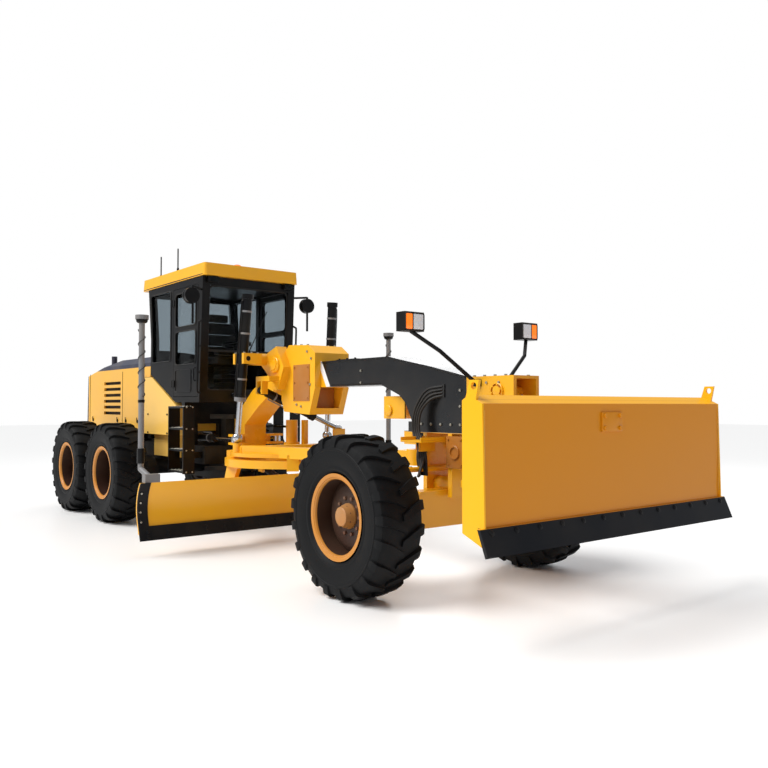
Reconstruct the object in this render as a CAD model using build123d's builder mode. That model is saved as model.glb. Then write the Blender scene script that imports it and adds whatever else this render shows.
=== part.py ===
"""Motor grader with a front dozer blade and a centre-mounted moldboard.

Millimetres. +X is forward, +Y is the machine's left, +Z is up, and the ground is z = 0.
The origin lies on the ground under the middle of the overall box.
Every height and place follows from the driving dimensions below.
"""
from build123d import *
from math import cos, radians, sin
import os

# ---------------------------------------------------------------- driving dimensions
# Running gear
FRONT_AXLE_X = 3160.0
WHEELBASE = 6260.0
TANDEM_SPACING = 1540.0
TRACK = 2150.0
TYRE_R = 670.0
TYRE_W = 445.0
HUB_Z = 665.0
RIM_R = 317.5
RIM_FLANGE_R = 355.0
RIM_W = 380.0
RIM_WALL = 16.0
HUB_R = 105.0
SPINDLE_R = 55.0
# Clearances
FIT = 0.3
PIN_R = 38.0
GAP = 6.0
# Frames
HINGE_X = -640.0
HINGE_BOTTOM_Z = 800.0
HINGE_TOP_Z = 1400.0
LUG_T = 55.0
BEAM_HALF_W = 150.0
BEAM_TOP_Z = 2045.0
BEAM_DEPTH = 275.0
NOSE_X = 3540.0
RAIL_Y = 360.0
RAIL_H = 230.0
RAIL_Z = 820.0
ARTIC_REAR_X = -1560.0
ARTIC_REAR_Y = 265.0
ARTIC_FRONT_X = -380.0
ARTIC_FRONT_Y = 300.0
ARTIC_Z = 1150.0
# Blade group
CIRCLE_X = 440.0
CIRCLE_Z = 880.0
CIRCLE_R = 760.0
CIRCLE_RING_W = 115.0
CIRCLE_T = 85.0
BALL_X = 2740.0
BALL_Z = 1080.0
BALL_R = 75.0
STEM_H = 125.0
YOKE_X = 290.0
YOKE_HALF_W = 620.0
LIFT_TOP_Z = 2100.0
LIFT_TOP_Y = 600.0
MOLDBOARD_W = 3660.0
MOLDBOARD_H = 600.0
MOLDBOARD_X = 460.0
MOLDBOARD_Z = 170.0
MOLDBOARD_T = 22.0
EDGE_H = 150.0
MAST_TOP_Z = 2540.0
# Dozer blade
DOZER_W = 2818.0
DOZER_X = 4958.0
DOZER_Z = 754.0
DOZER_TOP_Z = 1600.0
DOZER_T = 20.0
DOZER_ARM_Y = 230.0
# Cab and engine hood
CAB_HALF_W = 660.0
CAB_WALL = 55.0
CAB_TOP_Z = 3170.0
CAB_FLOOR_Z = 1610.0
CAB_FRONT_X = -540.0
ROOF_TOP_Z = 3327.0
HOOD_HALF_W = 590.0
HOOD_FRONT_X = -2330.0
HOOD_REAR_X = -5000.0
HOOD_TOP_Z = 2265.0
HOOD_BOTTOM_Z = 1200.0
HOOD_WALL = 30.0

# ---------------------------------------------------------------- places worked out
TANDEM_X = FRONT_AXLE_X - WHEELBASE
MID_AXLE_X = TANDEM_X + TANDEM_SPACING / 2
REAR_AXLE_X = TANDEM_X - TANDEM_SPACING / 2
WHEEL_Y = TRACK / 2
SIDES = (("right", -1), ("left", 1))

os.makedirs("parts", exist_ok=True)


def save(part, name):
    """Label a finished piece and write its STEP file."""
    part.label = name
    export_step(part, f"parts/{name}.step")


# ---------------------------------------------------------------- forms used throughout
def side_web(outline, y_from, y_to, mode=Mode.ADD):
    """A plate whose side outline is (x, z) points, from one y to another."""
    with BuildSketch(Plane.XZ.offset(-y_from)) as web:
        with BuildLine():
            Polyline(*outline, close=True)
        make_face()
    extrude(web.sketch, amount=y_from - y_to, mode=mode)


def plan_slab(outline, z_from, z_to, mode=Mode.ADD):
    """A plate whose plan outline is (x, y) points, from one z to another."""
    with BuildSketch(Plane.XY.offset(z_from)) as slab:
        with BuildLine():
            Polyline(*outline, close=True)
        make_face()
    extrude(slab.sketch, amount=z_to - z_from, mode=mode)


def cross_slab(outline, x_from, x_to, mode=Mode.ADD):
    """A plate whose outline across the machine is (y, z) points."""
    with BuildSketch(Plane.YZ.offset(x_from)) as slab:
        with BuildLine():
            Polyline(*outline, close=True)
        make_face()
    extrude(slab.sketch, amount=x_to - x_from, mode=mode)


def block(x, y, z, mode=Mode.ADD):
    """A box from three (low, high) pairs."""
    with Locations(((x[0] + x[1]) / 2, (y[0] + y[1]) / 2, (z[0] + z[1]) / 2)):
        Box(x[1] - x[0], abs(y[1] - y[0]), z[1] - z[0], mode=mode)


def span(side, inner, outer):
    """The y range between two distances from the middle plane, on one side of it."""
    return tuple(sorted((side * inner, side * outer)))


def rod(radius, start, end, mode=Mode.ADD):
    """A round bar between two points."""
    run = Vector(*end) - Vector(*start)
    with BuildSketch(Plane(origin=start, z_dir=run)) as section:
        Circle(radius)
    extrude(section.sketch, amount=run.length, mode=mode)


def cross_pin(radius, x, z, y_from, y_to, mode=Mode.ADD):
    """A round bar along Y."""
    rod(radius, (x, y_from, z), (x, y_to, z), mode)


def along(start, end, distance):
    """The point that lies a distance from start towards end."""
    run = (Vector(*end) - Vector(*start)).normalized()
    spot = Vector(*start) + run * distance
    return (spot.X, spot.Y, spot.Z)


def length_between(start, end):
    return (Vector(*end) - Vector(*start)).length


def hydraulic(name, pivot, eye, barrel_r, rod_r, reach, pivot_r, eye_r, pin_axis, width):
    """A hydraulic cylinder as a barrel, hinged at pivot, and a rod that slides out to eye.

    reach holds the distances from the pivot to the bore's end, the rod's start and the
    barrel's mouth; width is the thickness of both ends along pin_axis.
    """
    bore_start, rod_start, mouth = reach
    half = Vector(*pin_axis) * (width / 2)
    with BuildPart() as barrel:
        rod(barrel_r, along(pivot, eye, pivot_r + 8), along(pivot, eye, mouth))
        rod(barrel_r + 8, along(pivot, eye, mouth - 60), along(pivot, eye, mouth))
        rod(width / 2 - 4, along(pivot, eye, PIN_R), along(pivot, eye, pivot_r + 10))
        rod(pivot_r, tuple(Vector(*pivot) - half), tuple(Vector(*pivot) + half))
        rod(PIN_R + FIT, tuple(Vector(*pivot) - half * 2), tuple(Vector(*pivot) + half * 2), Mode.SUBTRACT)
        rod(rod_r + FIT, along(pivot, eye, bore_start), along(pivot, eye, mouth + 1), Mode.SUBTRACT)
    save(barrel.part, f"{name}_barrel")
    with BuildPart() as ram:
        rod(
            rod_r,
            along(pivot, eye, rod_start),
            along(pivot, eye, length_between(pivot, eye) - eye_r * 0.3),
        )
        rod(eye_r, tuple(Vector(*eye) - half), tuple(Vector(*eye) + half))
    save(ram.part, f"{name}_rod")


# ---------------------------------------------------------------- wheels and tyres
# Tyre section, half: (distance out from the wheel's middle, radius)
TREAD_HALF = TYRE_W / 2 - 18
BEAD_HALF = RIM_W / 2 - RIM_WALL - FIT


def wheel_plane(x, side):
    """Section plane of a wheel: local x points outboard and local y up."""
    return Plane(origin=(x, side * WHEEL_Y, HUB_Z), x_dir=(0, side, 0), z_dir=(side, 0, 0))


def make_tyre(name, x, side):
    half_section = (
        (BEAD_HALF, RIM_R + FIT),
        (BEAD_HALF, RIM_FLANGE_R + 3),
        (TYRE_W / 2, RIM_FLANGE_R + 140),
        (TREAD_HALF, TYRE_R - 40),
        (TREAD_HALF - 55, TYRE_R),
    )
    with BuildPart() as tyre:
        with BuildSketch(wheel_plane(x, side)):
            with BuildLine():
                Polyline(*half_section, *((-out, r) for out, r in reversed(half_section)), close=True)
            make_face()
        revolve(axis=Axis((x, 0, HUB_Z), (0, 1, 0)))
    save(tyre.part, f"tyre_{name}")


def make_rim(name, x, side, disc):
    """A dished steel rim; disc is how far outboard the disc lies from the wheel's middle."""
    half = RIM_W / 2
    with BuildPart() as rim:
        with BuildSketch(wheel_plane(x, side)):
            with BuildLine():
                Polyline(
                    (-half, RIM_R - RIM_WALL),
                    (half, RIM_R - RIM_WALL),
                    (half, RIM_FLANGE_R),
                    (half - RIM_WALL, RIM_R),
                    (RIM_WALL - half, RIM_R),
                    (-half, RIM_FLANGE_R),
                    close=True,
                )
            make_face()
            with BuildLine():
                Polyline(
                    (disc - 11, HUB_R - 5),
                    (disc + 11, HUB_R - 5),
                    (disc + 11, RIM_R - 80),
                    (disc - 20, RIM_R - RIM_WALL / 2),
                    (disc - 42, RIM_R - RIM_WALL / 2),
                    (disc - 11, RIM_R - 80),
                    close=True,
                )
            make_face()
            with BuildLine():
                Polyline(
                    (disc - 70, SPINDLE_R + FIT),
                    (disc + 70, SPINDLE_R + FIT),
                    (disc + 70, HUB_R),
                    (disc - 70, HUB_R),
                    close=True,
                )
            make_face()
        revolve(axis=Axis((x, 0, HUB_Z), (0, 1, 0)))
    save(rim.part, f"rim_{name}")


FRONT_DISC = 40.0
REAR_DISC = -40.0
for side_name, side in SIDES:
    for axle, axle_x, disc in (
        ("front", FRONT_AXLE_X, FRONT_DISC),
        ("mid", MID_AXLE_X, REAR_DISC),
        ("rear", REAR_AXLE_X, REAR_DISC),
    ):
        make_tyre(f"{axle}_{side_name}", axle_x, side)
        make_rim(f"{axle}_{side_name}", axle_x, side, disc)

# ---------------------------------------------------------------- tandem cases
CASE_IN_Y = 560.0
CASE_OUT_Y = 760.0
CASE_R = 205.0
with BuildPart() as tandem_cases:
    for _, side in SIDES:
        with BuildSketch(Plane.XZ.offset(-side * CASE_IN_Y)) as case:
            with Locations((MID_AXLE_X, HUB_Z), (REAR_AXLE_X, HUB_Z)):
                Circle(CASE_R)
            with Locations((TANDEM_X, HUB_Z + 45)):
                Circle(CASE_R)
            make_hull()
        extrude(case.sketch, amount=-side * (CASE_OUT_Y - CASE_IN_Y))
        for axle_x in (MID_AXLE_X, REAR_AXLE_X):
            end = WHEEL_Y + REAR_DISC + 55
            cross_pin(
                HUB_R + 25,
                axle_x,
                HUB_Z,
                side * (CASE_OUT_Y - 5),
                side * (WHEEL_Y + REAR_DISC - 70 - GAP),
            )
            cross_pin(SPINDLE_R, axle_x, HUB_Z, side * CASE_OUT_Y, side * end)
save(tandem_cases.part, "tandem_cases")

# ---------------------------------------------------------------- rear frame
RAIL_FRONT_X = -900.0
RAIL_T = 90.0
with BuildPart() as rear_frame:
    for _, side in SIDES:
        low, high = sorted((side * RAIL_Y, side * (RAIL_Y + RAIL_T)))
        block((HOOD_REAR_X + 60, RAIL_FRONT_X), (low, high), (RAIL_Z, RAIL_Z + RAIL_H))
        # cab and hood stands on the rails
        block((-1410, -1290), (low, high), (RAIL_Z, CAB_FLOOR_Z - FIT))
        block((-2210, -2120), (low, high), (RAIL_Z, 1960))
        block((-2440, -2340), (low, high), (RAIL_Z, HOOD_BOTTOM_Z - FIT))
    # cross members
    block((-2440, -2340), (15 - HOOD_HALF_W, HOOD_HALF_W - 15), (HOOD_BOTTOM_Z - 90, HOOD_BOTTOM_Z - FIT))
    for cross_x in (RAIL_FRONT_X - 60, -2390.0, HOOD_REAR_X + 120):
        block((cross_x - 60, cross_x + 60), (-RAIL_Y, RAIL_Y), (RAIL_Z, RAIL_Z + RAIL_H))
    # axle housing between the tandem cases, under the rails
    cross_pin(165, TANDEM_X, HUB_Z + 45, FIT - CASE_IN_Y, CASE_IN_Y - FIT)
    block((TANDEM_X - 130, TANDEM_X + 130), (-RAIL_Y - RAIL_T, RAIL_Y + RAIL_T), (HUB_Z + 100, RAIL_Z + 20))
    # hinge head
    plan_slab(
        (
            (RAIL_FRONT_X, -RAIL_Y - RAIL_T),
            (RAIL_FRONT_X, RAIL_Y + RAIL_T),
            (HINGE_X - 60, 150),
            (HINGE_X - 60, -150),
        ),
        HINGE_BOTTOM_Z - LUG_T,
        HINGE_BOTTOM_Z,
    )
    plan_slab(
        ((RAIL_FRONT_X - 160, -300), (RAIL_FRONT_X - 160, 300), (HINGE_X - 60, 150), (HINGE_X - 60, -150)),
        HINGE_TOP_Z,
        HINGE_TOP_Z + LUG_T,
    )
    block(
        (RAIL_FRONT_X - 160, RAIL_FRONT_X - 20),
        (-140, 140),
        (HINGE_BOTTOM_Z - LUG_T, HINGE_TOP_Z + LUG_T),
    )
    # cab cross beam and the lugs that the articulation cylinders are pinned to
    block((-1410, -1290), (-RAIL_Y - 5, RAIL_Y + 5), (1330, CAB_FLOOR_Z - FIT))
    for _, side in SIDES:
        for lug_z in (ARTIC_Z - 62, ARTIC_Z + 36):
            rod(
                52,
                (ARTIC_REAR_X, side * ARTIC_REAR_Y, lug_z),
                (ARTIC_REAR_X, side * ARTIC_REAR_Y, lug_z + 26),
            )
            low, high = sorted((side * ARTIC_REAR_Y, side * (RAIL_Y + 10)))
            block((ARTIC_REAR_X - 52, ARTIC_REAR_X + 52), (low, high), (lug_z, lug_z + 26))
        low, high = sorted((side * (RAIL_Y - 30), side * (RAIL_Y + 40)))
        block((ARTIC_REAR_X - 60, ARTIC_REAR_X + 60), (low, high), (RAIL_Z + RAIL_H - 10, ARTIC_Z + 62))
        rod(
            PIN_R,
            (ARTIC_REAR_X, side * ARTIC_REAR_Y, ARTIC_Z - 50),
            (ARTIC_REAR_X, side * ARTIC_REAR_Y, ARTIC_Z + 50),
        )
    for z_low, z_high in ((HINGE_BOTTOM_Z - LUG_T, HINGE_BOTTOM_Z), (HINGE_TOP_Z, HINGE_TOP_Z + LUG_T)):
        rod(130, (HINGE_X, 0, z_low), (HINGE_X, 0, z_high))
    rod(55, (HINGE_X, 0, HINGE_BOTTOM_Z - 5), (HINGE_X, 0, HINGE_BOTTOM_Z + 130))
    rod(55, (HINGE_X, 0, HINGE_TOP_Z - 130), (HINGE_X, 0, HINGE_TOP_Z + 5))
    # rear bumper plate and tow hitch with its pin bore
    block((HOOD_REAR_X - 40, HOOD_REAR_X + 70), (-560, 560), (RAIL_Z - 60, HOOD_BOTTOM_Z - FIT))
    for hitch_z in (RAIL_Z - 40, RAIL_Z + 90):
        block((HOOD_REAR_X - 130, HOOD_REAR_X - 30), (-70, 70), (hitch_z, hitch_z + 30))
        rod(25, (HOOD_REAR_X - 85, 0, hitch_z - 1), (HOOD_REAR_X - 85, 0, hitch_z + 31), Mode.SUBTRACT)
save(rear_frame.part, "rear_frame")

# ---------------------------------------------------------------- engine block
with BuildPart() as engine_block:
    block((-4500, -2950), (-330, 330), (RAIL_Z + RAIL_H + 40, 1880))
    for _, side in SIDES:
        for foot_x in (-4300.0, -3150.0):
            low, high = sorted((side * 250, side * (RAIL_Y + RAIL_T - 10)))
            block((foot_x - 60, foot_x + 60), (low, high), (RAIL_Z + RAIL_H + FIT, RAIL_Z + RAIL_H + 90))
save(engine_block.part, "engine_block")

# ---------------------------------------------------------------- engine hood
HOOD_SHOULDER = 90.0
hood_outline = (
    (HOOD_FRONT_X, HOOD_BOTTOM_Z),
    (HOOD_FRONT_X, HOOD_TOP_Z),
    (-3650, HOOD_TOP_Z),
    (HOOD_REAR_X + 40, HOOD_TOP_Z - 215),
    (HOOD_REAR_X, HOOD_BOTTOM_Z),
)
hood_inside = (
    (HOOD_FRONT_X + 1, HOOD_BOTTOM_Z - 1),
    (HOOD_FRONT_X + 1, HOOD_TOP_Z - HOOD_WALL),
    (-3650, HOOD_TOP_Z - HOOD_WALL),
    (HOOD_REAR_X + 40 + HOOD_WALL, HOOD_TOP_Z - 215 - HOOD_WALL),
    (HOOD_REAR_X + HOOD_WALL, HOOD_BOTTOM_Z - 1),
)
LOUVRES = 6
LOUVRE_Z = 1430.0
LOUVRE_PITCH = 92.0
def hood_section(wall):
    """The hood's outline across the machine, drawn in by a wall thickness."""
    half = HOOD_HALF_W - wall
    top = HOOD_TOP_Z - wall
    shoulder = HOOD_SHOULDER - 0.4 * wall
    low = HOOD_BOTTOM_Z - (1 if wall else 0)
    return (-half, low), (half, low), (half, top - shoulder), (half - shoulder, top), (shoulder - half, top), (
        -half,
        top - shoulder,
    )


with BuildPart() as hood_space:
    cross_slab(hood_section(HOOD_WALL), HOOD_REAR_X, HOOD_FRONT_X - HOOD_WALL)
    side_web(hood_inside, -HOOD_HALF_W, HOOD_HALF_W, Mode.INTERSECT)
with BuildPart() as hood:
    cross_slab(hood_section(0), HOOD_REAR_X, HOOD_FRONT_X)
    side_web(hood_outline, -HOOD_HALF_W, HOOD_HALF_W, Mode.INTERSECT)
    add(hood_space.part, mode=Mode.SUBTRACT)
    # side louvres
    for row in range(LOUVRES):
        z = LOUVRE_Z + row * LOUVRE_PITCH
        block((-4200, -3480), (-HOOD_HALF_W - 1, -HOOD_HALF_W + HOOD_WALL + 1), (z, z + 46), Mode.SUBTRACT)
        block((-4200, -3480), (HOOD_HALF_W - HOOD_WALL - 1, HOOD_HALF_W + 1), (z, z + 46), Mode.SUBTRACT)
    # radiator openings in the tail
    for row in range(7):
        z = HOOD_BOTTOM_Z + 90 + row * 100
        block((HOOD_REAR_X - 60, HOOD_REAR_X + 150), (-430, 430), (z, z + 60), Mode.SUBTRACT)
    # exhaust stack on the tail
    rod(45, (-4700, -250, HOOD_TOP_Z - 190), (-4700, -250, HOOD_TOP_Z + 120))
save(hood.part, "hood")

# ---------------------------------------------------------------- side tanks
with BuildPart() as side_tanks:
    for _, side in SIDES:
        side_web(
            (
                (HOOD_FRONT_X + 8, 1180),
                (-1400, 1180),
                (-1330, 1250),
                (-1330, 1570),
                (-2140, 1960),
                (HOOD_FRONT_X + 8, 1960),
            ),
            side * (RAIL_Y + RAIL_T + FIT),
            side * (CAB_HALF_W - 10),
        )
        low, high = sorted((side * (RAIL_Y + RAIL_T + FIT), side * (RAIL_Y + RAIL_T + 90)))
        block((-2300, -1500), (low, high), (RAIL_Z + 60, 1200))
        low, high = sorted((side * (HOOD_HALF_W + FIT), side * (CAB_HALF_W - 10)))
        block((-2620, HOOD_FRONT_X + 10), (low, high), (1180, 1960))
save(side_tanks.part, "side_tanks")

# ---------------------------------------------------------------- cab
cab_outline = (
    (CAB_FRONT_X - 85, CAB_FLOOR_Z),
    (CAB_FRONT_X, CAB_TOP_Z),
    (-2240, CAB_TOP_Z),
    (-2150, 2480),
    (-2150, 2000),
    (-1320, CAB_FLOOR_Z),
)
cab_inside = (
    (CAB_FRONT_X - 85 - CAB_WALL, CAB_FLOOR_Z + CAB_WALL),
    (CAB_FRONT_X - CAB_WALL, CAB_TOP_Z - CAB_WALL),
    (-2240 + CAB_WALL, CAB_TOP_Z - CAB_WALL),
    (-2150 + CAB_WALL, 2480),
    (-2150 + CAB_WALL, 2000 + 0.6 * CAB_WALL),
    (-1320 + 0.3 * CAB_WALL, CAB_FLOOR_Z + CAB_WALL),
)
DOOR_REAR_X = -1400.0
DOOR_FRONT_X = -660.0
DOOR_LOW_Z = 1680.0
DOOR_HIGH_Z = 3080.0
DOOR_T = 40.0
with BuildPart() as cab_shell:
    side_web(cab_outline, -CAB_HALF_W, CAB_HALF_W)
    side_web(cab_inside, CAB_WALL - CAB_HALF_W, CAB_HALF_W - CAB_WALL, Mode.SUBTRACT)
    # open door frames and rear quarter windows, both sides at once
    block(
        (DOOR_REAR_X, DOOR_FRONT_X),
        (-CAB_HALF_W - 1, CAB_HALF_W + 1),
        (DOOR_LOW_Z, DOOR_HIGH_Z),
        Mode.SUBTRACT,
    )
    side_web(
        ((-2090, 2150), (-1480, 2150), (-1480, 3080), (-2160, 3080), (-2090, 2480)),
        -CAB_HALF_W - 1,
        CAB_HALF_W + 1,
        Mode.SUBTRACT,
    )
    # windscreen, lower front glass and rear window
    block((CAB_FRONT_X - 300, CAB_FRONT_X + 10), (-560, 560), (1760, 3060), Mode.SUBTRACT)
    block((-2300, -2000), (-560, 560), (2330, 3060), Mode.SUBTRACT)
    # door sill steps and mirror arms
    for _, side in SIDES:
        rod(14, (CAB_FRONT_X - 50, side * (CAB_HALF_W - 20), 3000), (CAB_FRONT_X + 60, side * 820, 3010))
        rod(14, (CAB_FRONT_X + 60, side * 820, 3016), (CAB_FRONT_X + 60, side * 820, 2560))
        rod(95, (CAB_FRONT_X + 30, side * 830, 2900), (CAB_FRONT_X + 75, side * 830, 2900))
save(cab_shell.part, "cab_shell")

with BuildPart() as cab_roof:
    with BuildSketch(Plane.XY.offset(CAB_TOP_Z + FIT)):
        with Locations(((CAB_FRONT_X + 70 - 2430) / 2, 0)):
            RectangleRounded(2430 + CAB_FRONT_X + 70, 2 * CAB_HALF_W + 30, 50)
    extrude(amount=ROOF_TOP_Z - CAB_TOP_Z - FIT, taper=4)
    # beacon and two whip aerials
    rod(62, (-900, 0, ROOF_TOP_Z - 20), (-900, 0, ROOF_TOP_Z + 55))
    for aerial_x, aerial_y in ((-2200.0, -500.0), (-1500.0, -560.0)):
        rod(9, (aerial_x, aerial_y, ROOF_TOP_Z - 20), (aerial_x, aerial_y, ROOF_TOP_Z + 330))
save(cab_roof.part, "cab_roof")

PANE_T = 8.0
with BuildPart() as cab_glass:
    # windscreen follows the front pillars
    lean = (CAB_TOP_Z - CAB_FLOOR_Z) / 85
    def front_x(z):
        return CAB_FRONT_X - (CAB_TOP_Z - z) / lean
    side_web(
        (
            (front_x(1760 + FIT) - 25, 1760 + FIT),
            (front_x(3060 - FIT) - 25, 3060 - FIT),
            (front_x(3060 - FIT) - 25 - PANE_T, 3060 - FIT),
            (front_x(1760 + FIT) - 25 - PANE_T, 1760 + FIT),
        ),
        -560 + FIT,
        560 - FIT,
    )
    def rear_x(z):
        return -2150 - max(0, z - 2480) * 90 / (CAB_TOP_Z - 2480)
    side_web(
        (
            (rear_x(3060) + 25, 3060 - FIT),
            (rear_x(2480) + 25, 2480),
            (rear_x(2330) + 25, 2330 + FIT),
            (rear_x(2330) + 25 + PANE_T, 2330 + FIT),
            (rear_x(2480) + 25 + PANE_T, 2480),
            (rear_x(3060) + 25 + PANE_T, 3060 - FIT),
        ),
        -560 + FIT,
        560 - FIT,
    )
    for _, side in SIDES:
        side_web(
            (
                (-2090 + FIT, 2150 + FIT),
                (-1480 - FIT, 2150 + FIT),
                (-1480 - FIT, 3080 - FIT),
                (-2155, 3080 - FIT),
                (-2090 + FIT, 2480),
            ),
            side * (CAB_HALF_W - 20 - PANE_T),
            side * (CAB_HALF_W - 20),
        )
save(cab_glass.part, "cab_glass")

# Cab doors, hinged at their rear edge
for side_name, side in SIDES:
    with BuildPart() as door:
        side_web(
            (
                (DOOR_REAR_X + GAP, DOOR_LOW_Z + GAP),
                (DOOR_FRONT_X - GAP, DOOR_LOW_Z + GAP),
                (DOOR_FRONT_X - GAP, DOOR_HIGH_Z - GAP),
                (DOOR_REAR_X + GAP, DOOR_HIGH_Z - GAP),
            ),
            side * (CAB_HALF_W - DOOR_T),
            side * CAB_HALF_W,
        )
        for z_low, z_high in ((2090, 2520), (2580, 3010)):
            with BuildSketch(Plane.XZ.offset(-side * (CAB_HALF_W - DOOR_T - 1))) as light:
                with Locations(((DOOR_REAR_X + DOOR_FRONT_X) / 2, (z_low + z_high) / 2)):
                    RectangleRounded(DOOR_FRONT_X - DOOR_REAR_X - 130, z_high - z_low, 60)
            extrude(light.sketch, amount=-side * (DOOR_T + 2), mode=Mode.SUBTRACT)
        # hinge knuckles just outside the pillar
        for knuckle_z in (1850.0, 2900.0):
            rod(
                13,
                (DOOR_REAR_X, side * (CAB_HALF_W + 13.3), knuckle_z - 45),
                (DOOR_REAR_X, side * (CAB_HALF_W + 13.3), knuckle_z + 45),
            )
            low, high = sorted((side * (CAB_HALF_W - 4), side * (CAB_HALF_W + 20)))
            block((DOOR_REAR_X, DOOR_REAR_X + 60), (low, high), (knuckle_z - 40, knuckle_z + 40))
    save(door.part, f"door_{side_name}")

# ---------------------------------------------------------------- inside the cab
CAB_DECK_Z = CAB_FLOOR_Z + CAB_WALL + FIT
with BuildPart() as seat:
    block((-1290, -1010), (-200, 200), (CAB_DECK_Z, CAB_DECK_Z + 150))
    block((-1280, -1030), (-160, 160), (CAB_DECK_Z + 140, CAB_DECK_Z + 430))
    block((-1400, -960), (-260, 260), (CAB_DECK_Z + 420, CAB_DECK_Z + 540))
    side_web(
        (
            (-1400, CAB_DECK_Z + 500),
            (-1300, CAB_DECK_Z + 500),
            (-1370, CAB_DECK_Z + 1150),
            (-1470, CAB_DECK_Z + 1150),
        ),
        -240,
        240,
    )
save(seat.part, "seat")

with BuildPart() as console:
    rod(45, (-800, 0, CAB_DECK_Z + 60), (-902, 0, CAB_DECK_Z + 690))
    block((-880, -720), (-120, 120), (CAB_DECK_Z, CAB_DECK_Z + 120))
    with BuildSketch(Plane(origin=(-905, 0, CAB_DECK_Z + 690), z_dir=(-100, 0, 640))) as wheel_ring:
        Circle(190)
        Circle(160, mode=Mode.SUBTRACT)
    extrude(wheel_ring.sketch, amount=25)
    with BuildSketch(Plane(origin=(-903, 0, CAB_DECK_Z + 680), z_dir=(-100, 0, 640))) as wheel_spokes:
        Rectangle(30, 330)
        Circle(50)
    extrude(wheel_spokes.sketch, amount=30)
    block((-990, -860), (-280, 280), (CAB_DECK_Z + 560, CAB_DECK_Z + 620))
save(console.part, "console")

# ---------------------------------------------------------------- boarding ladders
LADDER_REAR_X = -1120.0
LADDER_FRONT_X = -690.0
LADDER_IN_Y = 690.0
LADDER_OUT_Y = 840.0
with BuildPart() as ladders:
    for _, side in SIDES:
        low, high = sorted((side * LADDER_IN_Y, side * LADDER_OUT_Y))
        for rail_x in (LADDER_REAR_X, LADDER_FRONT_X):
            block((rail_x - 12, rail_x + 12), (low, high), (730, 1560))
        for rung in range(4):
            z = 740 + rung * 265
            block((LADDER_REAR_X, LADDER_FRONT_X), (low, high), (z, z + 24))
        # brackets back to the rear frame's hinge head and the cab floor
        inner = sorted((side * (RAIL_Y + RAIL_T + FIT), side * (LADDER_IN_Y + 5)))
        block((RAIL_FRONT_X - 150, RAIL_FRONT_X - 60), tuple(inner), (900, 980))
        block(
            (RAIL_FRONT_X - 150, RAIL_FRONT_X - 60),
            span(side, 600, LADDER_IN_Y + 5),
            (1540, CAB_FLOOR_Z - FIT),
        )
save(ladders.part, "ladders")

# ---------------------------------------------------------------- front frame
beam_bottom = BEAM_TOP_Z - BEAM_DEPTH
front_outline = (
    (1310, BEAM_TOP_Z),
    (2450, BEAM_TOP_Z),
    (2640, 2005),
    (3060, 1926),
    (NOSE_X, 1820),
    (NOSE_X, 1320),
    (2870, 1320),
    (2710, 1600),
    (2620, 1670),
    (2350, beam_bottom),
    (1460, beam_bottom),
    (300, 1750),
    (-60, 1560),
    (-400, 1330),
    (-400, HINGE_BOTTOM_Z + GAP),
    (HINGE_X, HINGE_BOTTOM_Z + GAP),
    (HINGE_X, HINGE_TOP_Z - GAP),
    (-500, HINGE_TOP_Z - GAP),
    (-500, 1540),
    (-200, 1760),
    (300, 2000),
    (700, BEAM_TOP_Z),
)
with BuildPart() as front_frame:
    side_web(front_outline, -BEAM_HALF_W, BEAM_HALF_W)
    # hinge barrel with its pin bore
    rod(145, (HINGE_X, 0, HINGE_BOTTOM_Z + FIT), (HINGE_X, 0, HINGE_TOP_Z - FIT))
    rod(55 + FIT, (HINGE_X, 0, HINGE_BOTTOM_Z), (HINGE_X, 0, HINGE_BOTTOM_Z + 140), Mode.SUBTRACT)
    rod(55 + FIT, (HINGE_X, 0, HINGE_TOP_Z - 140), (HINGE_X, 0, HINGE_TOP_Z), Mode.SUBTRACT)
    # ears for the articulation cylinders
    for _, side in SIDES:
        block(
            (ARTIC_FRONT_X - 60, ARTIC_FRONT_X + 60),
            span(side, BEAM_HALF_W - 5, ARTIC_FRONT_Y + 55),
            (ARTIC_Z - 65, ARTIC_Z - 35 - FIT),
        )
        block(
            (ARTIC_FRONT_X - 60, ARTIC_FRONT_X + 60),
            span(side, BEAM_HALF_W - 5, ARTIC_FRONT_Y + 55),
            (ARTIC_Z + 35 + FIT, ARTIC_Z + 65),
        )
        block(
            (ARTIC_FRONT_X - 60, -405),
            span(side, BEAM_HALF_W - 5, BEAM_HALF_W + 70),
            (ARTIC_Z - 65, ARTIC_Z + 65),
        )
    # axle bracket and drawbar socket under the front box
    block((FRONT_AXLE_X - 190, FRONT_AXLE_X - 140), (-150, 150), (760, 1330))
    block((FRONT_AXLE_X + 140, FRONT_AXLE_X + 190), (-150, 150), (760, 1330))
    block((BALL_X + 150, FRONT_AXLE_X - 140), (-110, 110), (1040, 1330))
    block((BALL_X - 90, BALL_X + 100), (-110, 110), (BALL_Z + STEM_H, 1330))
    block((BALL_X + 20, 2880), (-BEAM_HALF_W, BEAM_HALF_W), (1300, 1420))
save(front_frame.part, "front_frame")

# ---------------------------------------------------------------- saddle and lift arms
LIFT_X = 380.0
SHIFT_PIVOT = (470.0, -400.0, 1740.0)
SHIFT_EYE = (560.0, 590.0, 1290.0)
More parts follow.
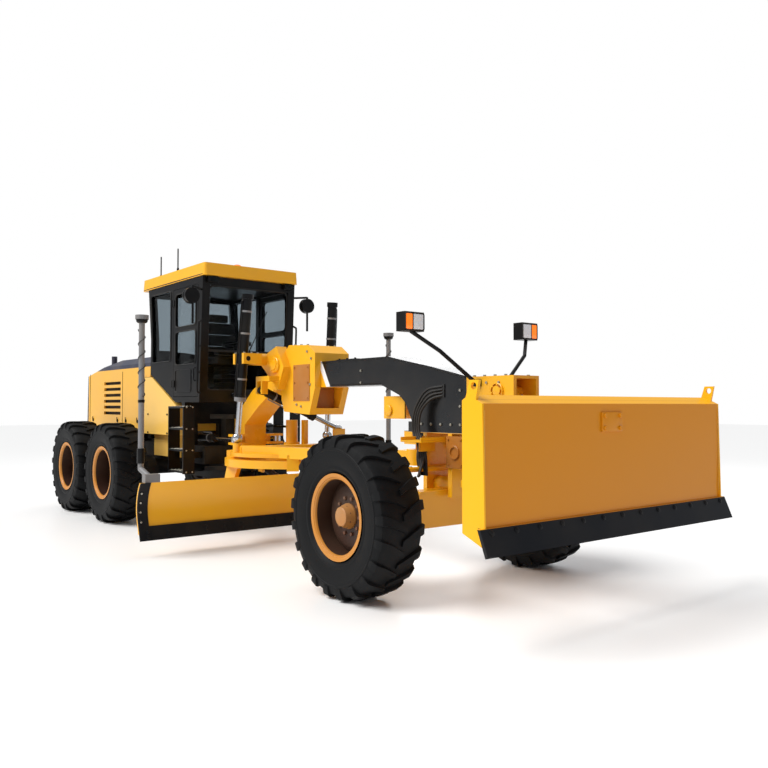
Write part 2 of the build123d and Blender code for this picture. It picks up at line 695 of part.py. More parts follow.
# the pin lies square to the cylinder's swing, a little off the machine's own length
SHIFT_PIN = Vector(0.987, -0.133, -0.095).normalized()
SHIFT_LUG_GAP = 42.0
LIFT_BARREL_R = 56.0
with BuildPart() as lift_saddle:
    # collar round the beam
    side_web(
        (
            (660, 1500),
            (1180, 1470),
            (1290, 1760),
            (1290, 2140),
            (1150, 2230),
            (760, 2250),
            (600, 2120),
            (600, 1640),
        ),
        -BEAM_HALF_W - 75,
        BEAM_HALF_W + 75,
    )
    side_web(front_outline, -BEAM_HALF_W - FIT, BEAM_HALF_W + FIT, Mode.SUBTRACT)
    block((300, 1320), (-BEAM_HALF_W - FIT, BEAM_HALF_W + FIT), (1540, BEAM_TOP_Z + FIT), Mode.SUBTRACT)
    for _, side in SIDES:
        # arm out to the boss, and the fork that carries the lift cylinder
        side_web(
            (
                (LIFT_X - 70, 2030),
                (LIFT_X + 300, 1750),
                (LIFT_X + 420, 2000),
                (LIFT_X + 260, 2240),
                (LIFT_X + 70, 2175),
            ),
            side * (BEAM_HALF_W + 40),
            side * (BEAM_HALF_W + 170),
        )
        rod(
            70,
            (LIFT_X, side * (BEAM_HALF_W + 60), LIFT_TOP_Z),
            (LIFT_X, side * (LIFT_TOP_Y - 120), LIFT_TOP_Z),
        )
        block(
            (LIFT_X - 125, LIFT_X + 125),
            span(side, LIFT_TOP_Y - 170, LIFT_TOP_Y - 105),
            (LIFT_TOP_Z - 60, LIFT_TOP_Z + 60),
        )
        for end in (-1, 1):
            block(
                tuple(sorted((LIFT_X + end * (LIFT_BARREL_R + 26), LIFT_X + end * (LIFT_BARREL_R + 69)))),
                span(side, LIFT_TOP_Y - 170, LIFT_TOP_Y + 60),
                (LIFT_TOP_Z - 60, LIFT_TOP_Z + 60),
            )
            rod(
                28 + FIT,
                (LIFT_X + end * (LIFT_BARREL_R + 20), side * LIFT_TOP_Y, LIFT_TOP_Z),
                (LIFT_X + end * (LIFT_BARREL_R + 80), side * LIFT_TOP_Y, LIFT_TOP_Z),
                Mode.SUBTRACT,
            )
    # lugs for the side-shift cylinder of the drawbar, hung from a cap beside the beam
    lug_y = (SHIFT_PIVOT[1] - 45, SHIFT_PIVOT[1] + 32)
    for lug_x in (SHIFT_PIVOT[0] - SHIFT_LUG_GAP - 26, SHIFT_PIVOT[0] + SHIFT_LUG_GAP):
        block((lug_x, lug_x + 26), lug_y, (SHIFT_PIVOT[2] - 42, SHIFT_PIVOT[2] + 110))
    block(
        (SHIFT_PIVOT[0] - SHIFT_LUG_GAP - 26, 700),
        (lug_y[0], -BEAM_HALF_W - FIT),
        (SHIFT_PIVOT[2] + 105, SHIFT_PIVOT[2] + 160),
    )
    rod(PIN_R, tuple(Vector(*SHIFT_PIVOT) - SHIFT_PIN * 54), tuple(Vector(*SHIFT_PIVOT) + SHIFT_PIN * 54))
save(lift_saddle.part, "lift_saddle")

# Lift cylinders, hung by trunnions in the forks
LIFT_BALL_Z = 1200.0
LIFT_BALL_R = 58.0
# the ball's seat tips under it as the blade rises
SEAT_ROOM = 3.0
for side_name, side in SIDES:
    pivot = (LIFT_X, side * LIFT_TOP_Y, LIFT_TOP_Z)
    eye = (YOKE_X, side * YOKE_HALF_W, LIFT_BALL_Z)
    run = length_between(pivot, eye)
    with BuildPart() as barrel:
        rod(LIFT_BARREL_R, along(pivot, eye, -730), along(pivot, eye, 480))
        rod(LIFT_BARREL_R + 9, along(pivot, eye, 420), along(pivot, eye, 480))
        rod(LIFT_BARREL_R + 9, along(pivot, eye, -735), along(pivot, eye, -680))
        rod(LIFT_BARREL_R + 16, along(pivot, eye, -60), along(pivot, eye, 60))
        rod(
            28,
            (LIFT_X - LIFT_BARREL_R - 68, pivot[1], LIFT_TOP_Z),
            (LIFT_X + LIFT_BARREL_R + 68, pivot[1], LIFT_TOP_Z),
        )
        rod(32 + FIT, along(pivot, eye, -640), along(pivot, eye, 481), Mode.SUBTRACT)
    save(barrel.part, f"lift_barrel_{side_name}")
    with BuildPart() as ram:
        rod(32, along(pivot, eye, -270), along(pivot, eye, run - 20))
        with Locations(eye):
            Sphere(LIFT_BALL_R)
    save(ram.part, f"lift_rod_{side_name}")

# ---------------------------------------------------------------- front nose and dozer carrier
DOZER_PIVOT_X = NOSE_X + 360
DOZER_PIVOT_Z = 960.0
LINK_PIVOT_Z = 1330.0
DOZER_CYL_X = NOSE_X + 365
DOZER_CYL_Z = 1690.0
DOZER_EYE = (NOSE_X + 890, 0.0, 1130.0)
with BuildPart() as nose_frame:
    for _, side in SIDES:
        side_web(
            (
                (NOSE_X + FIT, 1815),
                (NOSE_X + 540, 1815),
                (NOSE_X + 540, 1590),
                (NOSE_X + 420, 1480),
                (NOSE_X + 420, 880),
                (NOSE_X + 260, 800),
                (NOSE_X + FIT, 1000),
            ),
            side * 120,
            side * 155,
        )
        low, high = sorted((side * 120, side * (DOZER_ARM_Y + 55)))
        block((NOSE_X + FIT + 60, DOZER_PIVOT_X - 80), (low, high), (880, 940))
        for lug_y in (DOZER_ARM_Y - 55, DOZER_ARM_Y + 33):
            side_web(
                (
                    (DOZER_PIVOT_X - 200, 880),
                    (DOZER_PIVOT_X + 60, 880),
                    (DOZER_PIVOT_X + 60, 1020),
                    (DOZER_PIVOT_X - 40, 1060),
                    (DOZER_PIVOT_X - 200, 1060),
                ),
                side * lug_y,
                side * (lug_y + 22),
            )
        cross_pin(PIN_R, DOZER_PIVOT_X, DOZER_PIVOT_Z, side * 150, side * (DOZER_ARM_Y + 60))
    cross_pin(PIN_R, DOZER_PIVOT_X, LINK_PIVOT_Z, -130, 130)
    block((NOSE_X + FIT, NOSE_X + 40), (-155, 155), (1000, 1815))
    block((NOSE_X + 60, NOSE_X + 540), (-130, 130), (1790, 1815))
    cross_pin(PIN_R, DOZER_CYL_X, DOZER_CYL_Z, -165, 165)
save(nose_frame.part, "nose_frame")

HEADLAMP_X = 3450.0
HEADLAMP_Y = 710.0
HEADLAMP_Z = 2260.0
with BuildPart() as headlamps:
    for _, side in SIDES:
        foot = (NOSE_X + 140, side * 182, 1760)
        knee = (NOSE_X + 60, side * 520, 2020)
        lamp = (HEADLAMP_X, side * HEADLAMP_Y, HEADLAMP_Z - 75)
        rod(17, foot, knee)
        rod(17, knee, lamp)
        with Locations(knee):
            Sphere(17)
        block(
            (HEADLAMP_X - 60, HEADLAMP_X + 50),
            span(side, HEADLAMP_Y - 105, HEADLAMP_Y + 105),
            (HEADLAMP_Z - 80, HEADLAMP_Z + 80),
        )
        block((NOSE_X + 100, NOSE_X + 180), span(side, 155 + FIT, 180), (1730, 1790))
save(headlamps.part, "headlamps")

# ---------------------------------------------------------------- front axle
LEAN_Y = 690.0
LEAN_Z = 585.0
KINGPIN_Y = 800.0
with BuildPart() as front_axle:
    cross_slab(
        (
            (-LEAN_Y + 30, 500),
            (LEAN_Y - 30, 500),
            (LEAN_Y - 30, 640),
            (420, 820),
            (-420, 820),
            (-LEAN_Y + 30, 640),
        ),
        FRONT_AXLE_X - 90,
        FRONT_AXLE_X + 90,
    )
    # pivot barrel between the frame's axle brackets
    rod(80, (FRONT_AXLE_X - 140 + FIT, 0, 850), (FRONT_AXLE_X + 140 - FIT, 0, 850))
    for _, side in SIDES:
        for lug_x in (FRONT_AXLE_X - 90, FRONT_AXLE_X + 50):
            rod(75, (lug_x, side * LEAN_Y, LEAN_Z), (lug_x + 40, side * LEAN_Y, LEAN_Z))
            block((lug_x, lug_x + 40), span(side, LEAN_Y - 60, LEAN_Y), (LEAN_Z - 70, LEAN_Z + 60))
        block(
            (FRONT_AXLE_X - 50, FRONT_AXLE_X + 50),
            span(side, LEAN_Y - 85, LEAN_Y + 80),
            (480, 700),
            Mode.SUBTRACT,
        )
        rod(PIN_R, (FRONT_AXLE_X - 85, side * LEAN_Y, LEAN_Z), (FRONT_AXLE_X + 85, side * LEAN_Y, LEAN_Z))
save(front_axle.part, "front_axle")

LEAN_BAR_Z = 1000.0
TIE_X = FRONT_AXLE_X - 170
TIE_Z = 717.0
TIE_BOSS_R = 28.0
TIE_HALF_W = KINGPIN_Y - 8
LEAN_BOSS_R = 54.0
for side_name, side in SIDES:
    with BuildPart() as lean_bracket:
        rod(
            LEAN_BOSS_R,
            (FRONT_AXLE_X - 44, side * LEAN_Y, LEAN_Z),
            (FRONT_AXLE_X + 44, side * LEAN_Y, LEAN_Z),
        )
        cross_slab(
            (
                (side * (LEAN_Y - 45), LEAN_Z),
                (side * (LEAN_Y + 30), LEAN_Z - 60),
                (side * (KINGPIN_Y - 55), 480),
                (side * (KINGPIN_Y + 45), 480),
                (side * (KINGPIN_Y + 45), 540),
                (side * (KINGPIN_Y - 85), 540),
                (side * (KINGPIN_Y - 85), 800),
                (side * (KINGPIN_Y + 45), 800),
                (side * (KINGPIN_Y + 45), 860),
                (side * (KINGPIN_Y - 60), 860),
                (side * (LEAN_Y + 45), 1060),
                (side * (LEAN_Y - 45), 1060),
            ),
            FRONT_AXLE_X - 44,
            FRONT_AXLE_X + 44,
        )
        rod(
            PIN_R + FIT,
            (FRONT_AXLE_X - 50, side * LEAN_Y, LEAN_Z),
            (FRONT_AXLE_X + 50, side * LEAN_Y, LEAN_Z),
            Mode.SUBTRACT,
        )
        # kingpin ends
        rod(36, (FRONT_AXLE_X, side * KINGPIN_Y, 500), (FRONT_AXLE_X, side * KINGPIN_Y, 560))
        rod(36, (FRONT_AXLE_X, side * KINGPIN_Y, 780), (FRONT_AXLE_X, side * KINGPIN_Y, 840))
        rod(
            26,
            (FRONT_AXLE_X - 98, side * LEAN_Y, LEAN_BAR_Z),
            (FRONT_AXLE_X - 40, side * LEAN_Y, LEAN_BAR_Z),
        )
    save(lean_bracket.part, f"lean_bracket_{side_name}")
    with BuildPart() as knuckle:
        rod(52, (FRONT_AXLE_X, side * KINGPIN_Y, 540 + FIT), (FRONT_AXLE_X, side * KINGPIN_Y, 800 - FIT))
        rod(
            36 + FIT,
            (FRONT_AXLE_X, side * KINGPIN_Y, 540),
            (FRONT_AXLE_X, side * KINGPIN_Y, 562),
            Mode.SUBTRACT,
        )
        rod(
            36 + FIT,
            (FRONT_AXLE_X, side * KINGPIN_Y, 778),
            (FRONT_AXLE_X, side * KINGPIN_Y, 800),
            Mode.SUBTRACT,
        )
        cross_pin(
            SPINDLE_R + 20,
            FRONT_AXLE_X,
            HUB_Z,
            side * (KINGPIN_Y + 10),
            side * (WHEEL_Y + FRONT_DISC - 70 - GAP),
        )
        cross_pin(
            SPINDLE_R,
            FRONT_AXLE_X,
            HUB_Z,
            side * (KINGPIN_Y + 10),
            side * (WHEEL_Y + FRONT_DISC + 60),
        )
        # steering arm to the rear, with its ball stud
        block((TIE_X, FRONT_AXLE_X), span(side, KINGPIN_Y - 17, KINGPIN_Y + 17), (TIE_Z - 18, TIE_Z + 18))
        rod(TIE_BOSS_R, (TIE_X, side * KINGPIN_Y, TIE_Z - 28), (TIE_X, side * KINGPIN_Y, TIE_Z + 28))
    save(knuckle.part, f"knuckle_{side_name}")

with BuildPart() as tie_rod:
    tie_r = 22.0
    tie_back_x = TIE_X - TIE_BOSS_R - FIT - tie_r
    rod(tie_r, (tie_back_x, -TIE_HALF_W, TIE_Z), (tie_back_x, TIE_HALF_W, TIE_Z))
save(tie_rod.part, "tie_rod")

LEAN_BAR_X = FRONT_AXLE_X - 72
with BuildPart() as lean_bar:
    rod(24, (LEAN_BAR_X, -LEAN_Y, LEAN_BAR_Z), (LEAN_BAR_X, LEAN_Y, LEAN_BAR_Z))
    for _, side in SIDES:
        rod(45, (LEAN_BAR_X - 22, side * LEAN_Y, LEAN_BAR_Z), (LEAN_BAR_X + 22, side * LEAN_Y, LEAN_BAR_Z))
    rod(
        26 + FIT,
        (LEAN_BAR_X - 30, LEAN_Y, LEAN_BAR_Z),
        (LEAN_BAR_X + 30, LEAN_Y, LEAN_BAR_Z),
        Mode.SUBTRACT,
    )
    rod(
        26 + 6,
        (LEAN_BAR_X - 30, -LEAN_Y, LEAN_BAR_Z),
        (LEAN_BAR_X + 30, -LEAN_Y, LEAN_BAR_Z),
        Mode.SUBTRACT,
    )
save(lean_bar.part, "lean_bar")

# ---------------------------------------------------------------- articulation cylinders
for side_name, side in SIDES:
    hydraulic(
        f"articulation_{side_name}",
        (ARTIC_REAR_X, side * ARTIC_REAR_Y, ARTIC_Z),
        (ARTIC_FRONT_X, side * ARTIC_FRONT_Y, ARTIC_Z),
        barrel_r=46,
        rod_r=26,
        reach=(120, 420, 640),
        pivot_r=56,
        eye_r=46,
        pin_axis=(0, 0, 1),
        width=70,
    )

# ---------------------------------------------------------------- drawbar
with BuildPart() as drawbar_ball:
    # eight straight rings follow the sphere closely enough inside its socket
    ring_angles = [radians(-90 + 22.5 * step) for step in range(9)]
    with BuildSketch(Plane(origin=(BALL_X, 0, BALL_Z), x_dir=(1, 0, 0), z_dir=(0, -1, 0))):
        with BuildLine():
            Polyline(*((BALL_R * cos(a), BALL_R * sin(a)) for a in ring_angles), close=True)
        make_face()
    revolve(axis=Axis((BALL_X, 0, BALL_Z), (0, 0, 1)))
    rod(34, (BALL_X, 0, BALL_Z), (BALL_X, 0, BALL_Z + STEM_H - FIT))
save(drawbar_ball.part, "drawbar_ball")

DRAWBAR_Z = CIRCLE_Z + CIRCLE_T + 30
DRAWBAR_T = 120.0
DRIVE_X = -20.0
DRIVE_Y = 300.0
POST_X = 90.0
POST_Y = 420.0
# Shoe section: (radius low, high), (height low, high)
SHOE_SECTION = (
    ((CIRCLE_R - 90, CIRCLE_R + 40), (CIRCLE_Z + CIRCLE_T + FIT, DRAWBAR_Z + 40)),
    ((CIRCLE_R + 4, CIRCLE_R + 40), (CIRCLE_Z - 22, CIRCLE_Z + CIRCLE_T + 5)),
    ((CIRCLE_R - 22, CIRCLE_R + 40), (CIRCLE_Z - 22, CIRCLE_Z - FIT)),
)
with BuildPart() as drawbar:
    # socket round the ball
    rod(120, (BALL_X, 0, BALL_Z - 75), (BALL_X, 0, BALL_Z + 75))
    block((BALL_X - 260, BALL_X - 60), (-90, 90), (BALL_Z - 75, BALL_Z + 60))
    with Locations((BALL_X, 0, BALL_Z)):
        Sphere(BALL_R + FIT, mode=Mode.SUBTRACT)
    rod(62, (BALL_X, 0, BALL_Z), (BALL_X, 0, BALL_Z + 100), Mode.SUBTRACT)
    # two beams to the yoke
    for _, side in SIDES:
        plan_slab(
            (
                (BALL_X - 240, side * 90),
                (BALL_X - 240, 0),
                (BALL_X - 420, 0),
                (YOKE_X + 70, side * 440),
                (YOKE_X + 70, side * 620),
            ),
            DRAWBAR_Z,
            DRAWBAR_Z + DRAWBAR_T,
        )
        # ball seat for the lift cylinder
        rod(
            50,
            (YOKE_X, side * YOKE_HALF_W, DRAWBAR_Z),
            (YOKE_X, side * YOKE_HALF_W, LIFT_BALL_Z - LIFT_BALL_R - SEAT_ROOM),
        )
    block((YOKE_X - 90, YOKE_X + 90), (-YOKE_HALF_W, YOKE_HALF_W), (DRAWBAR_Z, DRAWBAR_Z + DRAWBAR_T - 15))
    # plate over the circle, and shoes that the ring hangs from
    with BuildSketch(Plane.XY.offset(DRAWBAR_Z)):
        with Locations((CIRCLE_X, 0)):
            Circle(CIRCLE_R - 60)
            Circle(CIRCLE_R - 240, mode=Mode.SUBTRACT)
    extrude(amount=40)
    # four shoes that hold the ring from above, outside and below
    for angle in (30, -30, 145, 215):
        with Locations(Location((CIRCLE_X, 0, 0), (0, 0, angle))):
            for r, z in SHOE_SECTION:
                with Locations(((r[0] + r[1]) / 2, 0, (z[0] + z[1]) / 2)):
                    Box(r[1] - r[0], 130, z[1] - z[0])
    # circle drive: gearbox above, pinion inside the ring, and the hose post beside it
    rod(72, (DRIVE_X, DRIVE_Y, DRAWBAR_Z + 5), (DRIVE_X, DRIVE_Y, 1390))
    rod(100, (DRIVE_X, DRIVE_Y, DRAWBAR_Z), (DRIVE_X, DRIVE_Y, DRAWBAR_Z + 120))
    rod(70, (DRIVE_X, DRIVE_Y, CIRCLE_Z + 52), (DRIVE_X, DRIVE_Y, DRAWBAR_Z + 5))
    block((POST_X - 30, POST_X + 30), (POST_Y - 30, POST_Y + 30), (DRAWBAR_Z, 1390))
    # cheek plate ahead of the side-shift cylinder's eye, which swings clear of it behind
    cheek_x = SHIFT_EYE[0] + 64
    block((cheek_x, cheek_x + 26), (SHIFT_EYE[1] - 120, SHIFT_EYE[1] + 45), (DRAWBAR_Z, SHIFT_EYE[2]))
    block(
        (cheek_x - 60, cheek_x + 5),
        (SHIFT_EYE[1] - 120, SHIFT_EYE[1] - 30),
        (DRAWBAR_Z, DRAWBAR_Z + DRAWBAR_T + 10),
    )
save(drawbar.part, "drawbar")

# Side-shift cylinder of the drawbar, from the saddle down to the far side of the drawbar
hydraulic(
    "shift",
    SHIFT_PIVOT,
    SHIFT_EYE,
    barrel_r=48,
    rod_r=28,
    reach=(115, 408, 735),
    pivot_r=50,
    eye_r=46,
    pin_axis=SHIFT_PIN,
    width=60,
)

# ---------------------------------------------------------------- circle
ARM_Y = 600.0
TILT_X = 200.0
TILT_Z = 400.0
TIP_PIVOT = (-140.0, 0.0, 800.0)
TIP_EYE = (250.0, 0.0, 655.0)
with BuildPart() as circle:
    with BuildSketch(Plane.XY.offset(CIRCLE_Z)):
        with Locations((CIRCLE_X, 0)):
            Circle(CIRCLE_R)
            Circle(CIRCLE_R - CIRCLE_RING_W, mode=Mode.SUBTRACT)
    extrude(amount=CIRCLE_T)
    for _, side in SIDES:
        side_web(
            (
                (CIRCLE_X - 375, CIRCLE_Z + 20),
                (CIRCLE_X + 200, CIRCLE_Z + 20),
                (CIRCLE_X - 140, CIRCLE_Z - 30),
                (TILT_X + 32, CIRCLE_Z - 145),
                (TILT_X + 32, CIRCLE_Z - 240),
                (TILT_X + 72, TILT_Z),
                (TILT_X, TILT_Z - 72),
                (TILT_X - 90, TILT_Z - 20),
                (TILT_X - 210, CIRCLE_Z - 160),
            ),
            side * (ARM_Y - 25),
            side * (ARM_Y + 25),
        )
        cross_pin(PIN_R, TILT_X, TILT_Z, side * (ARM_Y + 20), side * (ARM_Y - 90))
    # tie tube across the ring, with the lugs of the tip cylinder
    cross_pin(42, TIP_PIVOT[0] + 60, TIP_PIVOT[2] + 80, -450, 450)
    for lug_y in (-76, 50):
        side_web(
            (
                (TIP_PIVOT[0] - 45, TIP_PIVOT[2] - 40),
                (TIP_PIVOT[0] - 45, TIP_PIVOT[2] + 50),
                (TIP_PIVOT[0] + 20, TIP_PIVOT[2] + 115),
                (TIP_PIVOT[0] + 95, TIP_PIVOT[2] + 115),
                (TIP_PIVOT[0] + 95, TIP_PIVOT[2] + 60),
                (TIP_PIVOT[0] + 40, TIP_PIVOT[2] - 40),
            ),
            lug_y,
            lug_y + 26,
        )
    cross_pin(PIN_R, TIP_PIVOT[0], TIP_PIVOT[2], -60, 60)
    for _, side in SIDES:
        cross_pin(52, TIP_PIVOT[0], TIP_PIVOT[2], side * (32 + FIT), side * 52)
save(circle.part, "circle")

hydraulic(
    "tip",
    TIP_PIVOT,
    TIP_EYE,
    barrel_r=42,
    rod_r=24,
    reach=(70, 150, 320),
    pivot_r=48,
    eye_r=38,
    pin_axis=(0, 1, 0),
    width=64,
)

# ---------------------------------------------------------------- moldboard
RAIL_LOW_Z = 340.0
RAIL_HIGH_Z = 650.0
RAIL_BAR = 46.0
RAIL_BACK_X = 300.0
EDGE_T = 18.0
END_BIT_W = 110.0


def blade_sheet(front, back, y_from, y_to):
    """A length of the moldboard's curved section between two offsets along x from its face."""
    low, high = sorted((y_from, y_to))
    foot = (MOLDBOARD_X, MOLDBOARD_Z + 65)
    bend = (MOLDBOARD_X - 45, MOLDBOARD_Z + 200)
    middle = (MOLDBOARD_X - 62, MOLDBOARD_Z + 400)
    head = (MOLDBOARD_X + 25, MOLDBOARD_Z + MOLDBOARD_H)
    with BuildSketch(Plane.XZ.offset(-high)) as section:
        with BuildLine():
            Line((foot[0] + front, foot[1]), (bend[0] + front, bend[1]))
            ThreePointArc(
                (bend[0] + front, bend[1]),
                (middle[0] + front, middle[1]),
                (head[0] + front, head[1]),
            )
            Line((head[0] + front, head[1]), (head[0] + back, head[1]))
            ThreePointArc(
                (head[0] + back, head[1]),
                (middle[0] + back, middle[1]),
                (bend[0] + back, bend[1]),
            )
            Line((bend[0] + back, bend[1]), (foot[0] + back, foot[1]))
            Line((foot[0] + back, foot[1]), (foot[0] + front, foot[1]))
        make_face()
    extrude(section.sketch, amount=high - low)


HALF_BLADE = MOLDBOARD_W / 2
with BuildPart() as moldboard:
    blade_sheet(0, -MOLDBOARD_T, -HALF_BLADE, HALF_BLADE)
    # slide rails on their ribs
    for rail_z in (RAIL_LOW_Z, RAIL_HIGH_Z):
        block(
            (RAIL_BACK_X, RAIL_BACK_X + RAIL_BAR),
            (250 - HALF_BLADE, HALF_BLADE - 250),
            (rail_z, rail_z + RAIL_BAR),
        )
        block(
            (RAIL_BACK_X + RAIL_BAR - 5, MOLDBOARD_X - 50),
            (250 - HALF_BLADE, HALF_BLADE - 250),
            (rail_z + 16, rail_z + 30),
        )
save(moldboard.part, "moldboard")

with BuildPart() as moldboard_edge:
    slope = Vector(-45, 135).normalized()
    out = Vector(135, 45).normalized()
    low = Vector(MOLDBOARD_X, MOLDBOARD_Z + 65) - slope * 68 + out * FIT
    high = low + slope * EDGE_H
    with BuildSketch(Plane.XZ.offset(-HALF_BLADE)) as edge:
        with BuildLine():
            Polyline(
                (low.X, low.Y),
                (high.X, high.Y),
                (high.X + out.X * EDGE_T, high.Y + out.Y * EDGE_T),
                (low.X + out.X * EDGE_T, low.Y + out.Y * EDGE_T),
                close=True,
            )
        make_face()
    extrude(edge.sketch, amount=MOLDBOARD_W)
    for _, side in SIDES:
        blade_sheet(EDGE_T, FIT, side * HALF_BLADE, side * (HALF_BLADE - END_BIT_W))
save(moldboard_edge.part, "moldboard_edge")

with BuildPart() as masts:
    for _, side in SIDES:
        foot = (MOLDBOARD_X - 40, side * 1700, MOLDBOARD_Z + MOLDBOARD_H + 45)
        bend = (MOLDBOARD_X - 300, side * 1700, MOLDBOARD_Z + MOLDBOARD_H + 120)
        block(
            (MOLDBOARD_X - 60, MOLDBOARD_X + 30),
            span(side, 1620, 1780),
            (MOLDBOARD_Z + MOLDBOARD_H + FIT, MOLDBOARD_Z + MOLDBOARD_H + 85),
        )
        rod(31, foot, bend)
        with Locations(bend):
            Sphere(31)
        rod(31, bend, (bend[0], bend[1], MAST_TOP_Z - 45))
        rod(70, (bend[0], bend[1], MAST_TOP_Z - 46), (bend[0], bend[1], MAST_TOP_Z))
save(masts.part, "masts")

SHOE_GAP = FIT
with BuildPart() as blade_carrier:
    for _, side in SIDES:
        inner = ARM_Y - 25 - GAP
        rod(72, (TILT_X, side * inner, TILT_Z), (TILT_X, side * (inner - 60), TILT_Z))
        side_web(
            (
                (TILT_X - 60, TILT_Z - 50),
                (TILT_X + 40, TILT_Z - 90),
                (RAIL_BACK_X - SHOE_GAP, RAIL_LOW_Z - 30),
                (RAIL_BACK_X - SHOE_GAP, RAIL_HIGH_Z + RAIL_BAR + 30),
                (TILT_X + 10, RAIL_HIGH_Z + RAIL_BAR + 30),
                (TILT_X - 10, TILT_Z + 150),
            ),
            side * inner,
            side * (inner - 60),
        )
        # shoes hooked over the slide rails
        for rail_z in (RAIL_LOW_Z, RAIL_HIGH_Z):
            low, high = sorted((side * inner, side * (inner - 130)))
            block((TILT_X + 60, RAIL_BACK_X - SHOE_GAP), (low, high), (rail_z - 30, rail_z + RAIL_BAR + 30))
            for z_low, z_high in (
                (rail_z - 30, rail_z - SHOE_GAP),
                (rail_z + RAIL_BAR + SHOE_GAP, rail_z + RAIL_BAR + 30),
            ):
                block((RAIL_BACK_X - 20, RAIL_BACK_X + RAIL_BAR - 8), (low, high), (z_low, z_high))
        rod(
            PIN_R + FIT,
            (TILT_X, side * (inner + 1), TILT_Z),
            (TILT_X, side * (inner - 62), TILT_Z),
            Mode.SUBTRACT,
        )
    cross_pin(38, TILT_X + 60, RAIL_HIGH_Z - 92, 60 - ARM_Y, ARM_Y - 60)
    for lug_y in (-62, 36):
        side_web(
            (
                (TILT_X + 20, RAIL_HIGH_Z - 110),
                (TILT_X + 95, RAIL_HIGH_Z - 110),
                (TIP_EYE[0] + 40, TIP_EYE[2] + 30),
                (TIP_EYE[0] - 30, TIP_EYE[2] + 40),
            ),
            lug_y,
            lug_y + 26,
        )
save(blade_carrier.part, "blade_carrier")

# ---------------------------------------------------------------- dozer blade and its lift
DOZER_REACH = 800.0
LINK_Y = 97.0
DOZER_RISE = 120.0
HALF_DOZER = DOZER_W / 2
DOZER_BACK_X = DOZER_X - DOZER_T
ARM_FRONT = (DOZER_PIVOT_X + DOZER_REACH, DOZER_PIVOT_Z + DOZER_RISE)
LINK_FRONT = (DOZER_PIVOT_X + DOZER_REACH, LINK_PIVOT_Z + DOZER_RISE)
with BuildPart() as dozer_blade:
    # face sheet with its turned-back top strip
    side_web(
        (
            (DOZER_X, DOZER_Z + 40),
            (DOZER_X, DOZER_TOP_Z - 20),
            (DOZER_X - 120, DOZER_TOP_Z + 36),
            (DOZER_X - 128, DOZER_TOP_Z + 18),
            (DOZER_BACK_X, DOZER_TOP_Z - 34),
            (DOZER_BACK_X, DOZER_Z + 40),
        ),
        -HALF_DOZER,
        HALF_DOZER,
    )
    # end cheeks and lifting lugs
    for _, side in SIDES:
        side_web(
            (
                (DOZER_X - 180, DOZER_Z),
                (DOZER_X + 20, DOZER_Z - 80),
                (DOZER_X, DOZER_TOP_Z - 20),
                (DOZER_X - 120, DOZER_TOP_Z + 36),
                (DOZER_X - 180, DOZER_TOP_Z),
            ),
            side * (HALF_DOZER - 14),
            side * HALF_DOZER,
        )
        side_web(
            (
                (DOZER_X - 60, DOZER_TOP_Z - 10),
                (DOZER_X - 30, DOZER_TOP_Z + 130),
                (DOZER_X - 110, DOZER_TOP_Z + 130),
                (DOZER_X - 150, DOZER_TOP_Z + 10),
            ),
            side * (HALF_DOZER - 22),
            side * HALF_DOZER,
        )
        rod(
            24,
            (DOZER_X - 75, side * (HALF_DOZER - 30), DOZER_TOP_Z + 92),
            (DOZER_X - 75, side * (HALF_DOZER + 5), DOZER_TOP_Z + 92),
            Mode.SUBTRACT,
        )
        # bracket plates for the push arms
        for lug_y in (DOZER_ARM_Y - 55, DOZER_ARM_Y + 33):
            side_web(
                (
                    (DOZER_BACK_X + 5, ARM_FRONT[1] - 160),
                    (DOZER_BACK_X + 5, ARM_FRONT[1] + 160),
                    (ARM_FRONT[0] - 40, ARM_FRONT[1] + 50),
                    (ARM_FRONT[0] - 40, ARM_FRONT[1] - 50),
                ),
                side * lug_y,
                side * (lug_y + 22),
            )
        cross_pin(PIN_R, ARM_FRONT[0], ARM_FRONT[1], side * (DOZER_ARM_Y - 45), side * (DOZER_ARM_Y + 45))
    for lug_y in (-76, 54):
        side_web(
            (
                (DOZER_BACK_X + 5, LINK_FRONT[1] - 110),
                (DOZER_BACK_X + 5, LINK_FRONT[1] + 80),
                (LINK_FRONT[0] - 40, LINK_FRONT[1] + 45),
                (LINK_FRONT[0] - 40, LINK_FRONT[1] - 45),
            ),
            lug_y,
            lug_y + 22,
        )
    cross_pin(PIN_R, LINK_FRONT[0], LINK_FRONT[1], -118, 118)
    # back ribs and box beam
    block(
        (DOZER_BACK_X - 90, DOZER_BACK_X + 5),
        (20 - HALF_DOZER, HALF_DOZER - 20),
        (DOZER_Z + 80, DOZER_Z + 200),
    )
    for rib in range(-3, 4):
        block(
            (DOZER_BACK_X - 70, DOZER_BACK_X + 5),
            (rib * 420 - 8, rib * 420 + 8),
            (DOZER_Z + 60, DOZER_TOP_Z - 60),
        )
    # cutting edge
    side_web(
        (
            (DOZER_X - 4, DOZER_Z + 50),
            (DOZER_X + 20, DOZER_Z + 50),
            (DOZER_X + 90, DOZER_Z - 118),
            (DOZER_X + 66, DOZER_Z - 124),
        ),
        -HALF_DOZER - 45,
        HALF_DOZER + 45,
    )
save(dozer_blade.part, "dozer_blade")

